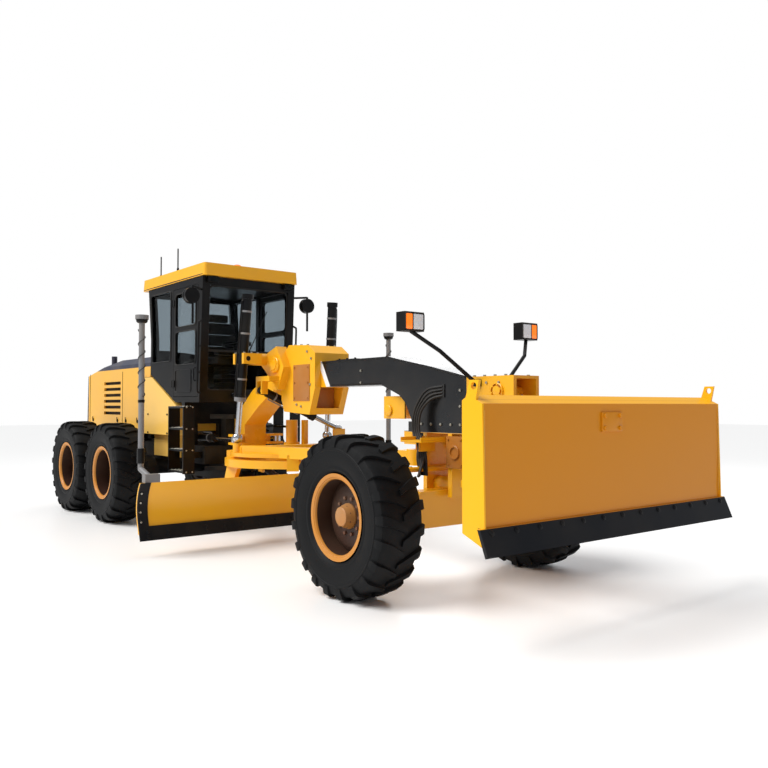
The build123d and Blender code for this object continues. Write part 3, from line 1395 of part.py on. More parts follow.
with BuildPart() as dozer_arms:
    for _, side in SIDES:
        low = Vector(DOZER_PIVOT_X, side * DOZER_ARM_Y, DOZER_PIVOT_Z)
        high = Vector(ARM_FRONT[0], side * DOZER_ARM_Y, ARM_FRONT[1])
        side_web(
            (
                (low.X, low.Z - 55),
                (high.X, high.Z - 50),
                (high.X, high.Z + 50),
                (low.X, low.Z + 55),
            ),
            side * (DOZER_ARM_Y - 31),
            side * (DOZER_ARM_Y + 31),
        )
        for end in (low, high):
            cross_pin(55, end.X, end.Z, side * (DOZER_ARM_Y - 31), side * (DOZER_ARM_Y + 31))
            cross_pin(
                PIN_R + FIT,
                end.X,
                end.Z,
                side * (DOZER_ARM_Y - 33),
                side * (DOZER_ARM_Y + 33),
                Mode.SUBTRACT,
            )
    cross_pin(44, DOZER_EYE[0], DOZER_EYE[2] - 94, -DOZER_ARM_Y, DOZER_ARM_Y)
    for lug_y in (-56, 30 + FIT):
        block(
            (DOZER_EYE[0] - 45, DOZER_EYE[0] + 45),
            (lug_y, lug_y + 25.7),
            (DOZER_EYE[2] - 94, DOZER_EYE[2] + 42),
        )
save(dozer_arms.part, "dozer_arms")

with BuildPart() as dozer_link:
    for _, side in SIDES:
        rod(17, (DOZER_PIVOT_X, side * LINK_Y, LINK_PIVOT_Z), (LINK_FRONT[0], side * LINK_Y, LINK_FRONT[1]))
        for end_x, end_z in ((DOZER_PIVOT_X, LINK_PIVOT_Z), LINK_FRONT):
            cross_pin(55, end_x, end_z, side * (LINK_Y - 20), side * (LINK_Y + 20))
            cross_pin(PIN_R + FIT, end_x, end_z, side * (LINK_Y - 21), side * (LINK_Y + 21), Mode.SUBTRACT)
    # bar that joins the two links
    cross_pin(18, DOZER_PIVOT_X + 0.75 * DOZER_REACH, LINK_PIVOT_Z + 0.75 * DOZER_RISE, -LINK_Y, LINK_Y)
save(dozer_link.part, "dozer_link")

hydraulic(
    "dozer_lift",
    (DOZER_CYL_X, 0, DOZER_CYL_Z),
    DOZER_EYE,
    barrel_r=50,
    rod_r=28,
    reach=(70, 165, 560),
    pivot_r=52,
    eye_r=44,
    pin_axis=(0, 1, 0),
    width=60,
)
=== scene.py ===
"""Motor grader: finishes, fittings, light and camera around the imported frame. All sizes in metres."""

from math import cos, pi, sin

import bmesh
import bpy
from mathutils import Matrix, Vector


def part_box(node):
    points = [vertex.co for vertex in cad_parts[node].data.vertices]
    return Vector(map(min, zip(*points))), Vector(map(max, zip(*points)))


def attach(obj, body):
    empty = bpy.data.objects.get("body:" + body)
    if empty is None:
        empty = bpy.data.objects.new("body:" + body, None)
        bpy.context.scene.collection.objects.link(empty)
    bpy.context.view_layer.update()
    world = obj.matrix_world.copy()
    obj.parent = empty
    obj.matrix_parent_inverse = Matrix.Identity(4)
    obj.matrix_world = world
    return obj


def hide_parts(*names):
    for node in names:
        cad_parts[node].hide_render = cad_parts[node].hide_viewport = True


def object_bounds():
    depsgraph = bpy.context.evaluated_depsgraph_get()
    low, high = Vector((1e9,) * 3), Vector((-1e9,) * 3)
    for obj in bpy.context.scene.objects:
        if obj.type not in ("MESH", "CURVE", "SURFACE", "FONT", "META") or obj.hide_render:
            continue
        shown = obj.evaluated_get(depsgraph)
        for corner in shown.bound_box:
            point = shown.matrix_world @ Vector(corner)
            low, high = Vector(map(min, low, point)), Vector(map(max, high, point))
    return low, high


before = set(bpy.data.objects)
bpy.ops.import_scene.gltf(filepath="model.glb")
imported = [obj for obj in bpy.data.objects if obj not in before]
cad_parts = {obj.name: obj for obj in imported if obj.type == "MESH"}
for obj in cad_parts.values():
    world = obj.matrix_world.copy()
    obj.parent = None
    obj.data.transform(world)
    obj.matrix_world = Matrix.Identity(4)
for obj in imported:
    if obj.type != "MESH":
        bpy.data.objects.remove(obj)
cad_low, cad_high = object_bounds()


# ---------------------------------------------------------------- studio
# A pale floor under soft light: a broad sun high on the machine's right, wide lamps ahead, above
# and behind, and a low world light. The world is white only where it is seen, also through glass.
FLOOR_COLOUR = (0.97, 0.97, 0.97, 1.0)
FLOOR_REACH = 60.0
floor_mesh = bpy.data.meshes.new("floor")
floor_mesh.from_pydata(
    [(x * FLOOR_REACH, y * FLOOR_REACH, cad_low[2]) for x, y in ((-1, -1), (1, -1), (1, 1), (-1, 1))],
    [],
    [(0, 1, 2, 3)],
)
floor = bpy.data.objects.new("floor", floor_mesh)
bpy.context.scene.collection.objects.link(floor)
floor_material = bpy.data.materials.new("pale_floor")
floor_material.use_nodes = True
floor_shader = floor_material.node_tree.nodes["Principled BSDF"]
floor_shader.inputs["Base Color"].default_value = FLOOR_COLOUR
floor_shader.inputs["Roughness"].default_value = 0.35
floor_mesh.materials.append(floor_material)

WORLD_STRENGTH = 0.40
world = bpy.data.worlds.new("studio")
bpy.context.scene.world = world
world.use_nodes = True
world_nodes = world.node_tree.nodes
world_links = world.node_tree.links
soft_light = world_nodes["Background"]
soft_light.inputs["Color"].default_value = (0.95, 0.97, 1.0, 1.0)
soft_light.inputs["Strength"].default_value = WORLD_STRENGTH
white_back = world_nodes.new("ShaderNodeBackground")
white_back.inputs["Color"].default_value = (1.0, 1.0, 1.0, 1.0)
white_back.inputs["Strength"].default_value = 1.0
light_path = world_nodes.new("ShaderNodeLightPath")
seen = world_nodes.new("ShaderNodeMath")
seen.operation = "MAXIMUM"
world_mix = world_nodes.new("ShaderNodeMixShader")
world_links.new(light_path.outputs["Is Camera Ray"], seen.inputs[0])
world_links.new(light_path.outputs["Is Transmission Ray"], seen.inputs[1])
world_links.new(seen.outputs[0], world_mix.inputs["Fac"])
world_links.new(soft_light.outputs[0], world_mix.inputs[1])
world_links.new(white_back.outputs[0], world_mix.inputs[2])
world_links.new(world_mix.outputs[0], world_nodes["World Output"].inputs["Surface"])


def soft_lamp(name, place, aim, size, power, colour):
    """A square area lamp that faces a point."""
    lamp_data = bpy.data.lights.new(name, "AREA")
    lamp_data.size = size
    lamp_data.energy = power
    lamp_data.color = colour
    lamp = bpy.data.objects.new(name, lamp_data)
    bpy.context.scene.collection.objects.link(lamp)
    lamp.location = place
    lamp.rotation_euler = (Vector(aim) - Vector(place)).to_track_quat("-Z", "Y").to_euler()


SUN_STRENGTH = 3.5
SUN_SPREAD = 0.7
SUN_HEADING = (0.22, 0.62, -0.75)
sun_data = bpy.data.lights.new("key", "SUN")
sun_data.energy = SUN_STRENGTH
sun_data.angle = SUN_SPREAD
sun_data.color = (1.0, 0.99, 0.97)
key_sun = bpy.data.objects.new("key", sun_data)
bpy.context.scene.collection.objects.link(key_sun)
key_sun.rotation_euler = Vector(SUN_HEADING).to_track_quat("-Z", "Y").to_euler()
soft_lamp("front_fill", (14.0, -3.0, 6.0), (1, 0, 1.2), 6.0, 30, (0.95, 0.97, 1.0))
soft_lamp("top", (0.0, 2.0, 13.0), (0, 0, 1), 9.0, 300, (1, 1, 1))
soft_lamp("back_fill", (-9.0, 10.0, 7.0), (-1, 0, 1.5), 7.0, 350, (1, 1, 1))

CAMERA_PLACE = (8.452, -4.965, 1.566)
CAMERA_YAW = 2.4702
CAMERA_PITCH = 0.0274
SENSOR_W = 36.0
FOCUS_PER_WIDTH = 794.84 / 768
camera_data = bpy.data.cameras.new("camera")
camera_data.sensor_width = SENSOR_W
camera_data.lens = SENSOR_W * FOCUS_PER_WIDTH
camera = bpy.data.objects.new("camera", camera_data)
bpy.context.scene.collection.objects.link(camera)
camera.location = CAMERA_PLACE
level = cos(CAMERA_PITCH)
sight = Vector((cos(CAMERA_YAW) * level, sin(CAMERA_YAW) * level, sin(CAMERA_PITCH)))
camera.rotation_euler = sight.to_track_quat("-Z", "Y").to_euler()
bpy.context.scene.camera = camera
bpy.context.scene.view_settings.view_transform = "Standard"


# ---------------------------------------------------------------- machine paint
# Sprayed enamel over welded plate. It carries a slight orange-peel, patches of road dust and
# uneven gloss; dark enamel, cast parts and tubes use the same group with values of their own.
def srgb(red, green, blue):
    """A colour given as 0 to 255 screen values."""
    return tuple((c / 255) ** 2.2 for c in (red, green, blue)) + (1.0,)


def coat_group():
    """Node group that varies one colour with dust and handling, and its roughness with both."""
    group = bpy.data.node_groups.new("weathered_coat", "ShaderNodeTree")
    face = group.interface
    face.new_socket("Colour", in_out="INPUT", socket_type="NodeSocketColor")
    face.new_socket("Dust Colour", in_out="INPUT", socket_type="NodeSocketColor")
    face.new_socket("Dust", in_out="INPUT", socket_type="NodeSocketFloat")
    face.new_socket("Gloss Low", in_out="INPUT", socket_type="NodeSocketFloat")
    face.new_socket("Gloss High", in_out="INPUT", socket_type="NodeSocketFloat")
    face.new_socket("Colour", in_out="OUTPUT", socket_type="NodeSocketColor")
    face.new_socket("Roughness", in_out="OUTPUT", socket_type="NodeSocketFloat")
    face.new_socket("Height", in_out="OUTPUT", socket_type="NodeSocketFloat")
    nodes = group.nodes
    links = group.links
    inward = nodes.new("NodeGroupInput")
    outward = nodes.new("NodeGroupOutput")
    place = nodes.new("ShaderNodeTexCoord")
    broad = nodes.new("ShaderNodeTexNoise")
    broad.inputs["Scale"].default_value = 2.2
    broad.inputs["Detail"].default_value = 6.0
    fine = nodes.new("ShaderNodeTexNoise")
    fine.inputs["Scale"].default_value = 55.0
    fine.inputs["Detail"].default_value = 3.0
    for noise in (broad, fine):
        links.new(place.outputs["Object"], noise.inputs["Vector"])
    patch = nodes.new("ShaderNodeMapRange")
    patch.inputs["From Min"].default_value = 0.42
    patch.inputs["From Max"].default_value = 0.72
    links.new(broad.outputs["Fac"], patch.inputs["Value"])
    amount = nodes.new("ShaderNodeMath")
    amount.operation = "MULTIPLY"
    links.new(patch.outputs["Result"], amount.inputs[0])
    links.new(inward.outputs["Dust"], amount.inputs[1])
    blend = nodes.new("ShaderNodeMix")
    blend.data_type = "RGBA"
    links.new(amount.outputs[0], blend.inputs["Factor"])
    links.new(inward.outputs["Colour"], blend.inputs["A"])
    links.new(inward.outputs["Dust Colour"], blend.inputs["B"])
    rough = nodes.new("ShaderNodeMix")
    rough.data_type = "FLOAT"
    links.new(broad.outputs["Fac"], rough.inputs["Factor"])
    links.new(inward.outputs["Gloss Low"], rough.inputs["A"])
    links.new(inward.outputs["Gloss High"], rough.inputs["B"])
    links.new(blend.outputs["Result"], outward.inputs["Colour"])
    links.new(rough.outputs["Result"], outward.inputs["Roughness"])
    links.new(fine.outputs["Fac"], outward.inputs["Height"])
    return group


weathered_coat = coat_group()
DUST = srgb(168, 150, 122)


def coated(
    name,
    colour,
    dust=0.25,
    gloss=(0.25, 0.45),
    metallic=0.0,
    clearcoat=0.0,
    grain=0.02,
    dust_colour=DUST,
    specular=0.5,
):
    """A material whose colour, roughness and fine bump come from the weathered coat."""
    material = bpy.data.materials.new(name)
    material.use_nodes = True
    nodes = material.node_tree.nodes
    links = material.node_tree.links
    shader = nodes["Principled BSDF"]
    coat = nodes.new("ShaderNodeGroup")
    coat.name = "coat"
    coat.node_tree = weathered_coat
    coat.inputs["Colour"].default_value = colour
    coat.inputs["Dust Colour"].default_value = dust_colour
    coat.inputs["Dust"].default_value = dust
    coat.inputs["Gloss Low"].default_value = gloss[0]
    coat.inputs["Gloss High"].default_value = gloss[1]
    bump = nodes.new("ShaderNodeBump")
    bump.inputs["Strength"].default_value = grain
    bump.inputs["Distance"].default_value = 0.002
    links.new(coat.outputs["Height"], bump.inputs["Height"])
    links.new(coat.outputs["Colour"], shader.inputs["Base Color"])
    links.new(coat.outputs["Roughness"], shader.inputs["Roughness"])
    links.new(bump.outputs["Normal"], shader.inputs["Normal"])
    shader.inputs["Metallic"].default_value = metallic
    shader.inputs["Coat Weight"].default_value = clearcoat
    shader.inputs["Coat Roughness"].default_value = 0.12
    shader.inputs["Specular IOR Level"].default_value = specular
    return material


YELLOW = srgb(240, 172, 26)
NAVY = srgb(32, 38, 62)
ENAMEL_BLACK = srgb(13, 14, 17)
EDGE_BLACK = srgb(10, 14, 20)
DULL_BLACK = 0.2
yellow_paint = coated("machine_yellow", YELLOW, dust=0.04, clearcoat=0.1)
pale_panel = coated("side_panel_yellow", srgb(240, 190, 92), dust=0.12, clearcoat=0.2)
black_enamel = coated(
    "black_enamel",
    ENAMEL_BLACK,
    dust=0.02,
    gloss=(0.25, 0.42),
    clearcoat=0.05,
    specular=DULL_BLACK,
)
frame_black = coated("chassis_black", srgb(17, 17, 19), 0.12, (0.45, 0.7), specular=DULL_BLACK)
# Painted shade: a dark brown for the knuckles, lean brackets and wheel nuts, which stand in shadow under the
# nose and in the dish.
painted_shade_casting = coated("casting_painted_shade", srgb(92, 52, 34), dust=0.2, gloss=(0.4, 0.6))
plain_grey = coated("cast_grey", srgb(128, 128, 130), dust=0.2, gloss=(0.4, 0.6), metallic=0.4)
edge_steel = coated("cutting_edge_black", EDGE_BLACK, 0.03, (0.4, 0.6), specular=DULL_BLACK)
bright_steel = coated("bright_steel", srgb(190, 192, 196), dust=0.0, gloss=(0.12, 0.25), metallic=1.0)
bolt_zinc = coated("zinc_bolt", srgb(176, 172, 160), dust=0.1, gloss=(0.25, 0.45), metallic=0.9)


def clad(material, *nodes):
    """Give CAD nodes one material over all of their faces."""
    for node in nodes:
        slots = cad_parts[node].data.materials
        if not slots:
            slots.append(material)
        for index in range(len(slots)):
            slots[index] = material


clad(yellow_paint, "lift_saddle", "nose_frame", "front_axle", "drawbar", "circle", "blade_carrier")
clad(yellow_paint, "drawbar_ball", "moldboard", "dozer_arms", "dozer_link", "lean_bar")
clad(pale_panel, "side_tanks")
clad(frame_black, "rear_frame", "tandem_cases", "engine_block")
clad(black_enamel, "ladders", "headlamps", "cab_shell", "door_right", "door_left", "tie_rod")
# The lean brackets and knuckles under the nose are painted brown as painted shade.
clad(painted_shade_casting, "lean_bracket_right", "lean_bracket_left", "knuckle_right", "knuckle_left")
clad(edge_steel, "moldboard_edge")
clad(plain_grey, "masts")
clad(black_enamel, "console", "seat")
SIDES = (("right", -1), ("left", 1))
for side_name, _ in SIDES:
    clad(black_enamel, f"lift_barrel_{side_name}", f"articulation_{side_name}_barrel")
    clad(bright_steel, f"lift_rod_{side_name}", f"articulation_{side_name}_rod")
clad(black_enamel, "shift_barrel", "tip_barrel")
clad(yellow_paint, "dozer_lift_barrel")
clad(bright_steel, "shift_rod", "tip_rod", "dozer_lift_rod")


# ---------------------------------------------------------------- masked paint schemes
# Some plates carry two colours, masked off along a straight line before spraying. On the dozer blade the same
# kind of line sets off the face, which is painted a darker orange as painted shade, from its yellow side
# plates and top strip. The line is set in the machine's own frame, so it stays on the plate when the piece
# moves.
def side_of_line(material, normal, offset, softness=0.002):
    """A 0 to 1 mask that is 1 where normal . place is above offset."""
    nodes = material.node_tree.nodes
    links = material.node_tree.links
    place = nodes.new("ShaderNodeTexCoord")
    dot = nodes.new("ShaderNodeVectorMath")
    dot.operation = "DOT_PRODUCT"
    dot.inputs[1].default_value = normal
    step = nodes.new("ShaderNodeMapRange")
    step.inputs["From Min"].default_value = offset - softness
    step.inputs["From Max"].default_value = offset + softness
    links.new(place.outputs["Object"], dot.inputs[0])
    links.new(dot.outputs["Value"], step.inputs["Value"])
    return step.outputs["Result"]


def multiply(material, first, second):
    """A mask that is 1 only where both of two masks are."""
    product = material.node_tree.nodes.new("ShaderNodeMath")
    product.operation = "MULTIPLY"
    material.node_tree.links.new(first, product.inputs[0])
    material.node_tree.links.new(second, product.inputs[1])
    return product.outputs[0]


def over_paint(material, mask, colour):
    """Lay a second colour over the coat's own wherever the mask is 1."""
    nodes = material.node_tree.nodes
    links = material.node_tree.links
    coat = nodes["coat"]
    mix = nodes.new("ShaderNodeMix")
    mix.data_type = "RGBA"
    links.new(mask, mix.inputs["Factor"])
    already = coat.inputs["Colour"].links
    if already:
        links.new(already[0].from_socket, mix.inputs["A"])
    else:
        mix.inputs["A"].default_value = coat.inputs["Colour"].default_value
    mix.inputs["B"].default_value = colour
    links.new(mix.outputs["Result"], coat.inputs["Colour"])


BEAM_BLACK_X = 1.47
BEAM_BLACK_SLOPE = 0.58
STRIPE_W = 0.075
BEAM_FOOT_Z = 1.325
BEAM_STRIPE_Z = 1.77
beam_paint = coated("beam_two_colour", YELLOW, dust=0.03, gloss=(0.2, 0.38), clearcoat=0.12)
above_foot = side_of_line(beam_paint, (0, 0, 1), BEAM_FOOT_Z)
stripe_normal = (1, 0, BEAM_BLACK_SLOPE)
stripe_offset = BEAM_BLACK_X + BEAM_BLACK_SLOPE * BEAM_STRIPE_Z
behind_white = side_of_line(beam_paint, stripe_normal, stripe_offset - STRIPE_W)
white_zone = multiply(beam_paint, behind_white, above_foot)
over_paint(beam_paint, white_zone, srgb(226, 228, 230))
behind_black = side_of_line(beam_paint, stripe_normal, stripe_offset)
black_zone = multiply(beam_paint, behind_black, above_foot)
over_paint(beam_paint, black_zone, srgb(10, 13, 18))
clad(beam_paint, "front_frame")

SIDE_PLATE_Y = 1.3945
TOP_STRIP_Z = 1.582
EDGE_TOP_Z = 0.802
# Painted shade: the blade's front face is a darker orange than the machine yellow. The side plates and top
# strip carry the yellow itself, and the band along the foot is the black cutting edge.
dozer_shaded_face_paint = coated("dozer_blade_painted_shade", srgb(210, 132, 20), dust=0.02, specular=0.25)
for normal, offset in (((0, 1, 0), SIDE_PLATE_Y), ((0, -1, 0), SIDE_PLATE_Y), ((0, 0, 1), TOP_STRIP_Z)):
    over_paint(dozer_shaded_face_paint, side_of_line(dozer_shaded_face_paint, normal, offset), YELLOW)
edge_mask = multiply(
    dozer_shaded_face_paint,
    side_of_line(dozer_shaded_face_paint, (0, 0, -1), -EDGE_TOP_Z),
    side_of_line(dozer_shaded_face_paint, (1, 0, 0.4), 4.958 + 0.4 * 0.70),
)
over_paint(dozer_shaded_face_paint, edge_mask, srgb(10, 14, 22))
clad(dozer_shaded_face_paint, "dozer_blade")

HOOD_LINE_Z = 2.12
HOOD_TAIL_X = -4.93
hood_paint = coated("hood_two_colour", srgb(236, 176, 62), dust=0.12, clearcoat=0.25)
over_paint(hood_paint, side_of_line(hood_paint, (0, 0, 1), HOOD_LINE_Z), NAVY)
over_paint(hood_paint, side_of_line(hood_paint, (-1, 0, 0), -HOOD_TAIL_X), srgb(62, 62, 66))
clad(hood_paint, "hood")

AERIAL_FOOT_Z = 3.338
roof_paint = coated("roof_yellow", YELLOW, dust=0.04, clearcoat=0.2)
over_paint(roof_paint, side_of_line(roof_paint, (0, 0, 1), AERIAL_FOOT_Z), ENAMEL_BLACK)
clad(roof_paint, "cab_roof")

# ---------------------------------------------------------------- glass
# Tinted safety glass, about 6 mm thick. The panes are bonded into the cab's window frames, and
# those of the doors swing with them.
tinted = bpy.data.materials.new("tinted_glass")
tinted.use_nodes = True
glass_shader = tinted.node_tree.nodes["Principled BSDF"]
glass_shader.inputs["Base Color"].default_value = (0.42, 0.47, 0.5, 1.0)
glass_shader.inputs["Transmission Weight"].default_value = 1.0
glass_shader.inputs["Roughness"].default_value = 0.02
glass_shader.inputs["IOR"].default_value = 1.1
clad(tinted, "cab_glass")

# ---------------------------------------------------------------- tyres
# Off-road tyres in black rubber: a bagged carcass with ribbed sidewalls, and deep directional lugs
# moulded over the crown and down both shoulders. Each one stands for its plain CAD tyre.
rubber = coated(
    "tyre_rubber",
    srgb(9, 11, 14),
    dust=0.06,
    gloss=(0.5, 0.75),
    grain=0.5,
    dust_colour=srgb(66, 64, 62),
    specular=DULL_BLACK,
)
WHEEL_SEGMENTS = 96
TYRE_LUGS = 21
# Carcass section, half: (distance out from the wheel's middle, radius)
CARCASS = (
    (0.0, 0.648),
    (0.100, 0.645),
    (0.168, 0.636),
    (0.196, 0.620),
    (0.209, 0.592),
    (0.2150, 0.562),
    (0.2205, 0.556),
    (0.2205, 0.546),
    (0.2165, 0.540),
    (0.2165, 0.500),
    (0.2100, 0.455),
    (0.1990, 0.415),
    (0.2010, 0.406),
    (0.2010, 0.392),
    (0.1950, 0.380),
    (0.1840, 0.368),
    (0.1740, 0.3585),
)
# Lug path from past the middle to the foot of the shoulder: (top out, top radius, base out,
# base radius, half width, lead round the wheel in metres)
LUG_PATH = (
    (-0.018, 0.668, -0.014, 0.640, 0.020, 0.000),
    (0.030, 0.6695, 0.030, 0.640, 0.024, 0.024),
    (0.085, 0.6695, 0.085, 0.638, 0.028, 0.052),
    (0.135, 0.668, 0.132, 0.634, 0.032, 0.072),
    (0.180, 0.661, 0.166, 0.626, 0.035, 0.084),
    (0.207, 0.645, 0.184, 0.614, 0.037, 0.090),
    (0.2195, 0.615, 0.196, 0.600, 0.037, 0.092),
    (0.2222, 0.582, 0.205, 0.580, 0.033, 0.092),
    (0.2185, 0.563, 0.208, 0.563, 0.028, 0.090),
)


def finished(name, mesh, material, body, smooth_angle=0.6):
    """Turn a bmesh into a piece with one material that rides on a body."""
    data = bpy.data.meshes.new(name)
    bmesh.ops.recalc_face_normals(mesh, faces=mesh.faces)
    mesh.to_mesh(data)
    mesh.free()
    data.materials.append(material)
    data.shade_smooth()
    data.set_sharp_from_angle(angle=smooth_angle)
    piece = bpy.data.objects.new(name, data)
    bpy.context.scene.collection.objects.link(piece)
    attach(piece, body)
    return piece


def lathe(mesh, section, place, closed=False, segments=WHEEL_SEGMENTS):
    """Spin a section of (along, radius) pairs; place(along, radius, angle) gives each point."""
    rings = []
    for along, radius in section:
        ring = [mesh.verts.new(place(along, radius, 2 * pi * k / segments)) for k in range(segments)]
        rings.append(ring)
    pairs = list(zip(rings, rings[1:]))
    if closed:
        pairs.append((rings[-1], rings[0]))
    for near, far in pairs:
        for k in range(segments):
            following = (k + 1) % segments
            mesh.faces.new((near[k], near[following], far[following], far[k]))
    return rings


WHEELS = []
for axle in ("front", "mid", "rear"):
    for side_name, side in SIDES:
        low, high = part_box(f"tyre_{axle}_{side_name}")
        middle = [(a + b) / 2 for a, b in zip(low, high)]
        WHEELS.append((axle, side_name, side, middle))


def about_axle(middle, side):
    """Points round a wheel's axle, with distances along it counted outboard."""

    def place(out, radius, angle):
        return (middle[0] + radius * sin(angle), middle[1] + side * out, middle[2] + radius * cos(angle))

    return place


for axle, side_name, side, middle in WHEELS:
    place = about_axle(middle, side)
    mesh = bmesh.new()
    section = [(-out, radius) for out, radius in reversed(CARCASS[1:])] + list(CARCASS)
    lathe(mesh, section, place)
    for lug in range(2 * TYRE_LUGS):
        hand = 1 if lug % 2 else -1
        start = pi * lug / TYRE_LUGS
        stations = []
        for top_out, top_r, base_out, base_r, half_width, lead in LUG_PATH:
            row = []
            for out, radius, reach in (
                (base_out, base_r, -half_width - 0.007),
                (top_out, top_r, -half_width),
                (top_out, top_r, half_width),
                (base_out, base_r, half_width + 0.007),
            ):
                row.append(mesh.verts.new(place(hand * out, radius, start - (lead + reach) / CARCASS[0][1])))
            stations.append(row)
        for near, far in zip(stations, stations[1:]):
            for k in range(3):
                mesh.faces.new((near[k], near[k + 1], far[k + 1], far[k]))
        mesh.faces.new(stations[0])
        mesh.faces.new(stations[-1])
    tyre = finished(f"tyre_{axle}_{side_name}_tread", mesh, rubber, f"wheel_{axle}_{side_name}", 0.45)
    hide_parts(f"tyre_{axle}_{side_name}")


# ---------------------------------------------------------------- rims
# Pressed steel rims with a lock ring and a welded centre disc, sprayed gold. The barrel and dished disc are
# painted dark brown as painted shade inside the dish.
# The disc is bolted to the hub with a ring of nuts; the front hubs end in a turned cap.
rim_gold = coated("rim_gold", srgb(190, 122, 36), dust=0.12, gloss=(0.35, 0.55), clearcoat=0.1)
dish_shade_brown = coated("dish_shade_brown", srgb(52, 27, 12), dust=0.05, gloss=(0.45, 0.65))
hub_yellow = coated("hub_yellow", srgb(170, 108, 40), dust=0.3, gloss=(0.35, 0.55))
# Closed sections of the gold flange with its lock ring, and of the brown barrel: (out, radius)
RIM_FLANGE = (
    (0.1895, 0.3540),
    (0.1900, 0.3400),
    (0.1860, 0.3320),
    (0.1860, 0.3240),
    (0.1790, 0.3200),
    (0.1790, 0.3110),
    (0.1700, 0.3060),
    (0.1610, 0.3045),
    (0.1610, 0.3195),
    (0.1745, 0.3200),
)
RIM_BARREL = (
    (0.1605, 0.3035),
    (-0.1500, 0.3030),
    (-0.1780, 0.3110),
    (-0.1895, 0.3540),
    (-0.1745, 0.3200),
    (0.1605, 0.3195),
)
RIM_NUTS = 10
NUT_CIRCLE_R = 0.150
NUT_R = 0.016


def hexagon(mesh, centre, axis, radius, height):
    """A bolt head or nut: a chamfered hexagon that stands up along an axis."""
    axis = Vector(axis).normalized()
    across = axis.orthogonal().normalized()
    up = axis.cross(across)
    rings = []
    for scale, lift in ((1.0, 0.0), (1.0, 0.82), (0.86, 1.0)):
        ring = []
        for k in range(6):
            angle = pi * k / 3
            spoke = across * cos(angle) + up * sin(angle)
            ring.append(mesh.verts.new(Vector(centre) + spoke * radius * scale + axis * height * lift))
        rings.append(ring)
    for near, far in zip(rings, rings[1:]):
        for k in range(6):
            following = (k + 1) % 6
            mesh.faces.new((near[k], near[following], far[following], far[k]))
    mesh.faces.new(rings[-1])


for axle, side_name, side, middle in WHEELS:
    place = about_axle(middle, side)
    body = f"wheel_{axle}_{side_name}"
    disc = 0.040 if axle == "front" else -0.040
    mesh = bmesh.new()
    lathe(mesh, RIM_FLANGE, place, closed=True)
    ring = finished(f"rim_{axle}_{side_name}_ring", mesh, rim_gold, body, 0.5)
    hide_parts(f"rim_{axle}_{side_name}")
    # barrel, and the dished centre disc with a rolled edge against it, both dark brown as painted shade
    mesh = bmesh.new()
    lathe(mesh, RIM_BARREL, place, closed=True)
    disc_section = (
        (disc - 0.034, 0.3035),
        (disc - 0.020, 0.3000),
        (disc + 0.004, 0.2600),
        (disc + 0.011, 0.2400),
        (disc + 0.011, 0.1050),
        (disc - 0.011, 0.1050),
        (disc - 0.011, 0.2350),
        (disc - 0.040, 0.2950),
        (disc - 0.046, 0.3035),
    )
    lathe(mesh, disc_section, place, closed=True)
    finished(f"rim_{axle}_{side_name}_disc", mesh, dish_shade_brown, body, 0.5)
    # hub barrel and cap
    mesh = bmesh.new()
    cap = 0.098 if axle == "front" else 0.062
    hub_section = (
        (disc - 0.070, 0.0555),
        (disc - 0.070, 0.1050),
        (disc + 0.024, 0.1050),
        (disc + 0.030, 0.1010),
        (disc + 0.052, 0.0960),
        (disc + cap - 0.020, 0.0820),
        (disc + cap - 0.004, 0.0780),
        (disc + cap, 0.0720),
        (disc + cap, 0.0001),
    )
    lathe(mesh, hub_section, place, segments=48)
    finished(f"hub_{axle}_{side_name}", mesh, hub_yellow, body, 0.5)
    # wheel nuts, and the small screws round the cap, painted brown as painted shade inside the dish
    mesh = bmesh.new()
    for count, circle, foot, size in (
        (RIM_NUTS, NUT_CIRCLE_R, disc + 0.011, NUT_R),
        (8, 0.088, disc + 0.052, 0.008),
    ):
        for k in range(count):
            hexagon(mesh, place(foot, circle, 2 * pi * (k + 0.5) / count), (0, side, 0), size, size * 1.1)
    finished(f"wheel_nuts_{axle}_{side_name}", mesh, painted_shade_casting, body, 0.5)

# ---------------------------------------------------------------- front blade fittings
# The straight blade carried ahead of the nose: a welded plate with a bolted square pad high in its
# middle, a folded top strip, stiffened side plates and a bolt-on cutting edge held by plow bolts.
gasket_black = coated("gasket_rubber", srgb(10, 11, 13), dust=0.05, gloss=(0.6, 0.8), grain=0.1)
hose_black = coated("hose_rubber", srgb(11, 12, 15), dust=0.06, gloss=(0.4, 0.6), grain=0.15)
weld_yellow = coated("weld_yellow", srgb(206, 140, 30), dust=0.2, gloss=(0.4, 0.6), grain=0.6)


def cuboid(mesh, low, high, bevel=0.004):
    """A plate or block with eased edges."""
    corners = bmesh.ops.create_cube(mesh, size=1.0)["verts"]
    for corner in corners:
        corner.co = [(a + b) / 2 + at * (b - a) for a, b, at in zip(low, high, corner.co)]
    edges = {edge for corner in corners for edge in corner.link_edges}
    bmesh.ops.bevel(mesh, geom=list(edges), offset=bevel, segments=2, profile=0.6, affect="EDGES")


def turned(mesh, start, axis, section, segments=32):
    """Spin a section of (metres from start, radius) pairs about a line."""
    axis = Vector(axis).normalized()
    across = axis.orthogonal().normalized()
    up = axis.cross(across)

    def place(along, radius, angle):
        return Vector(start) + axis * along + (across * cos(angle) + up * sin(angle)) * radius

    lathe(mesh, section, place, segments=segments)


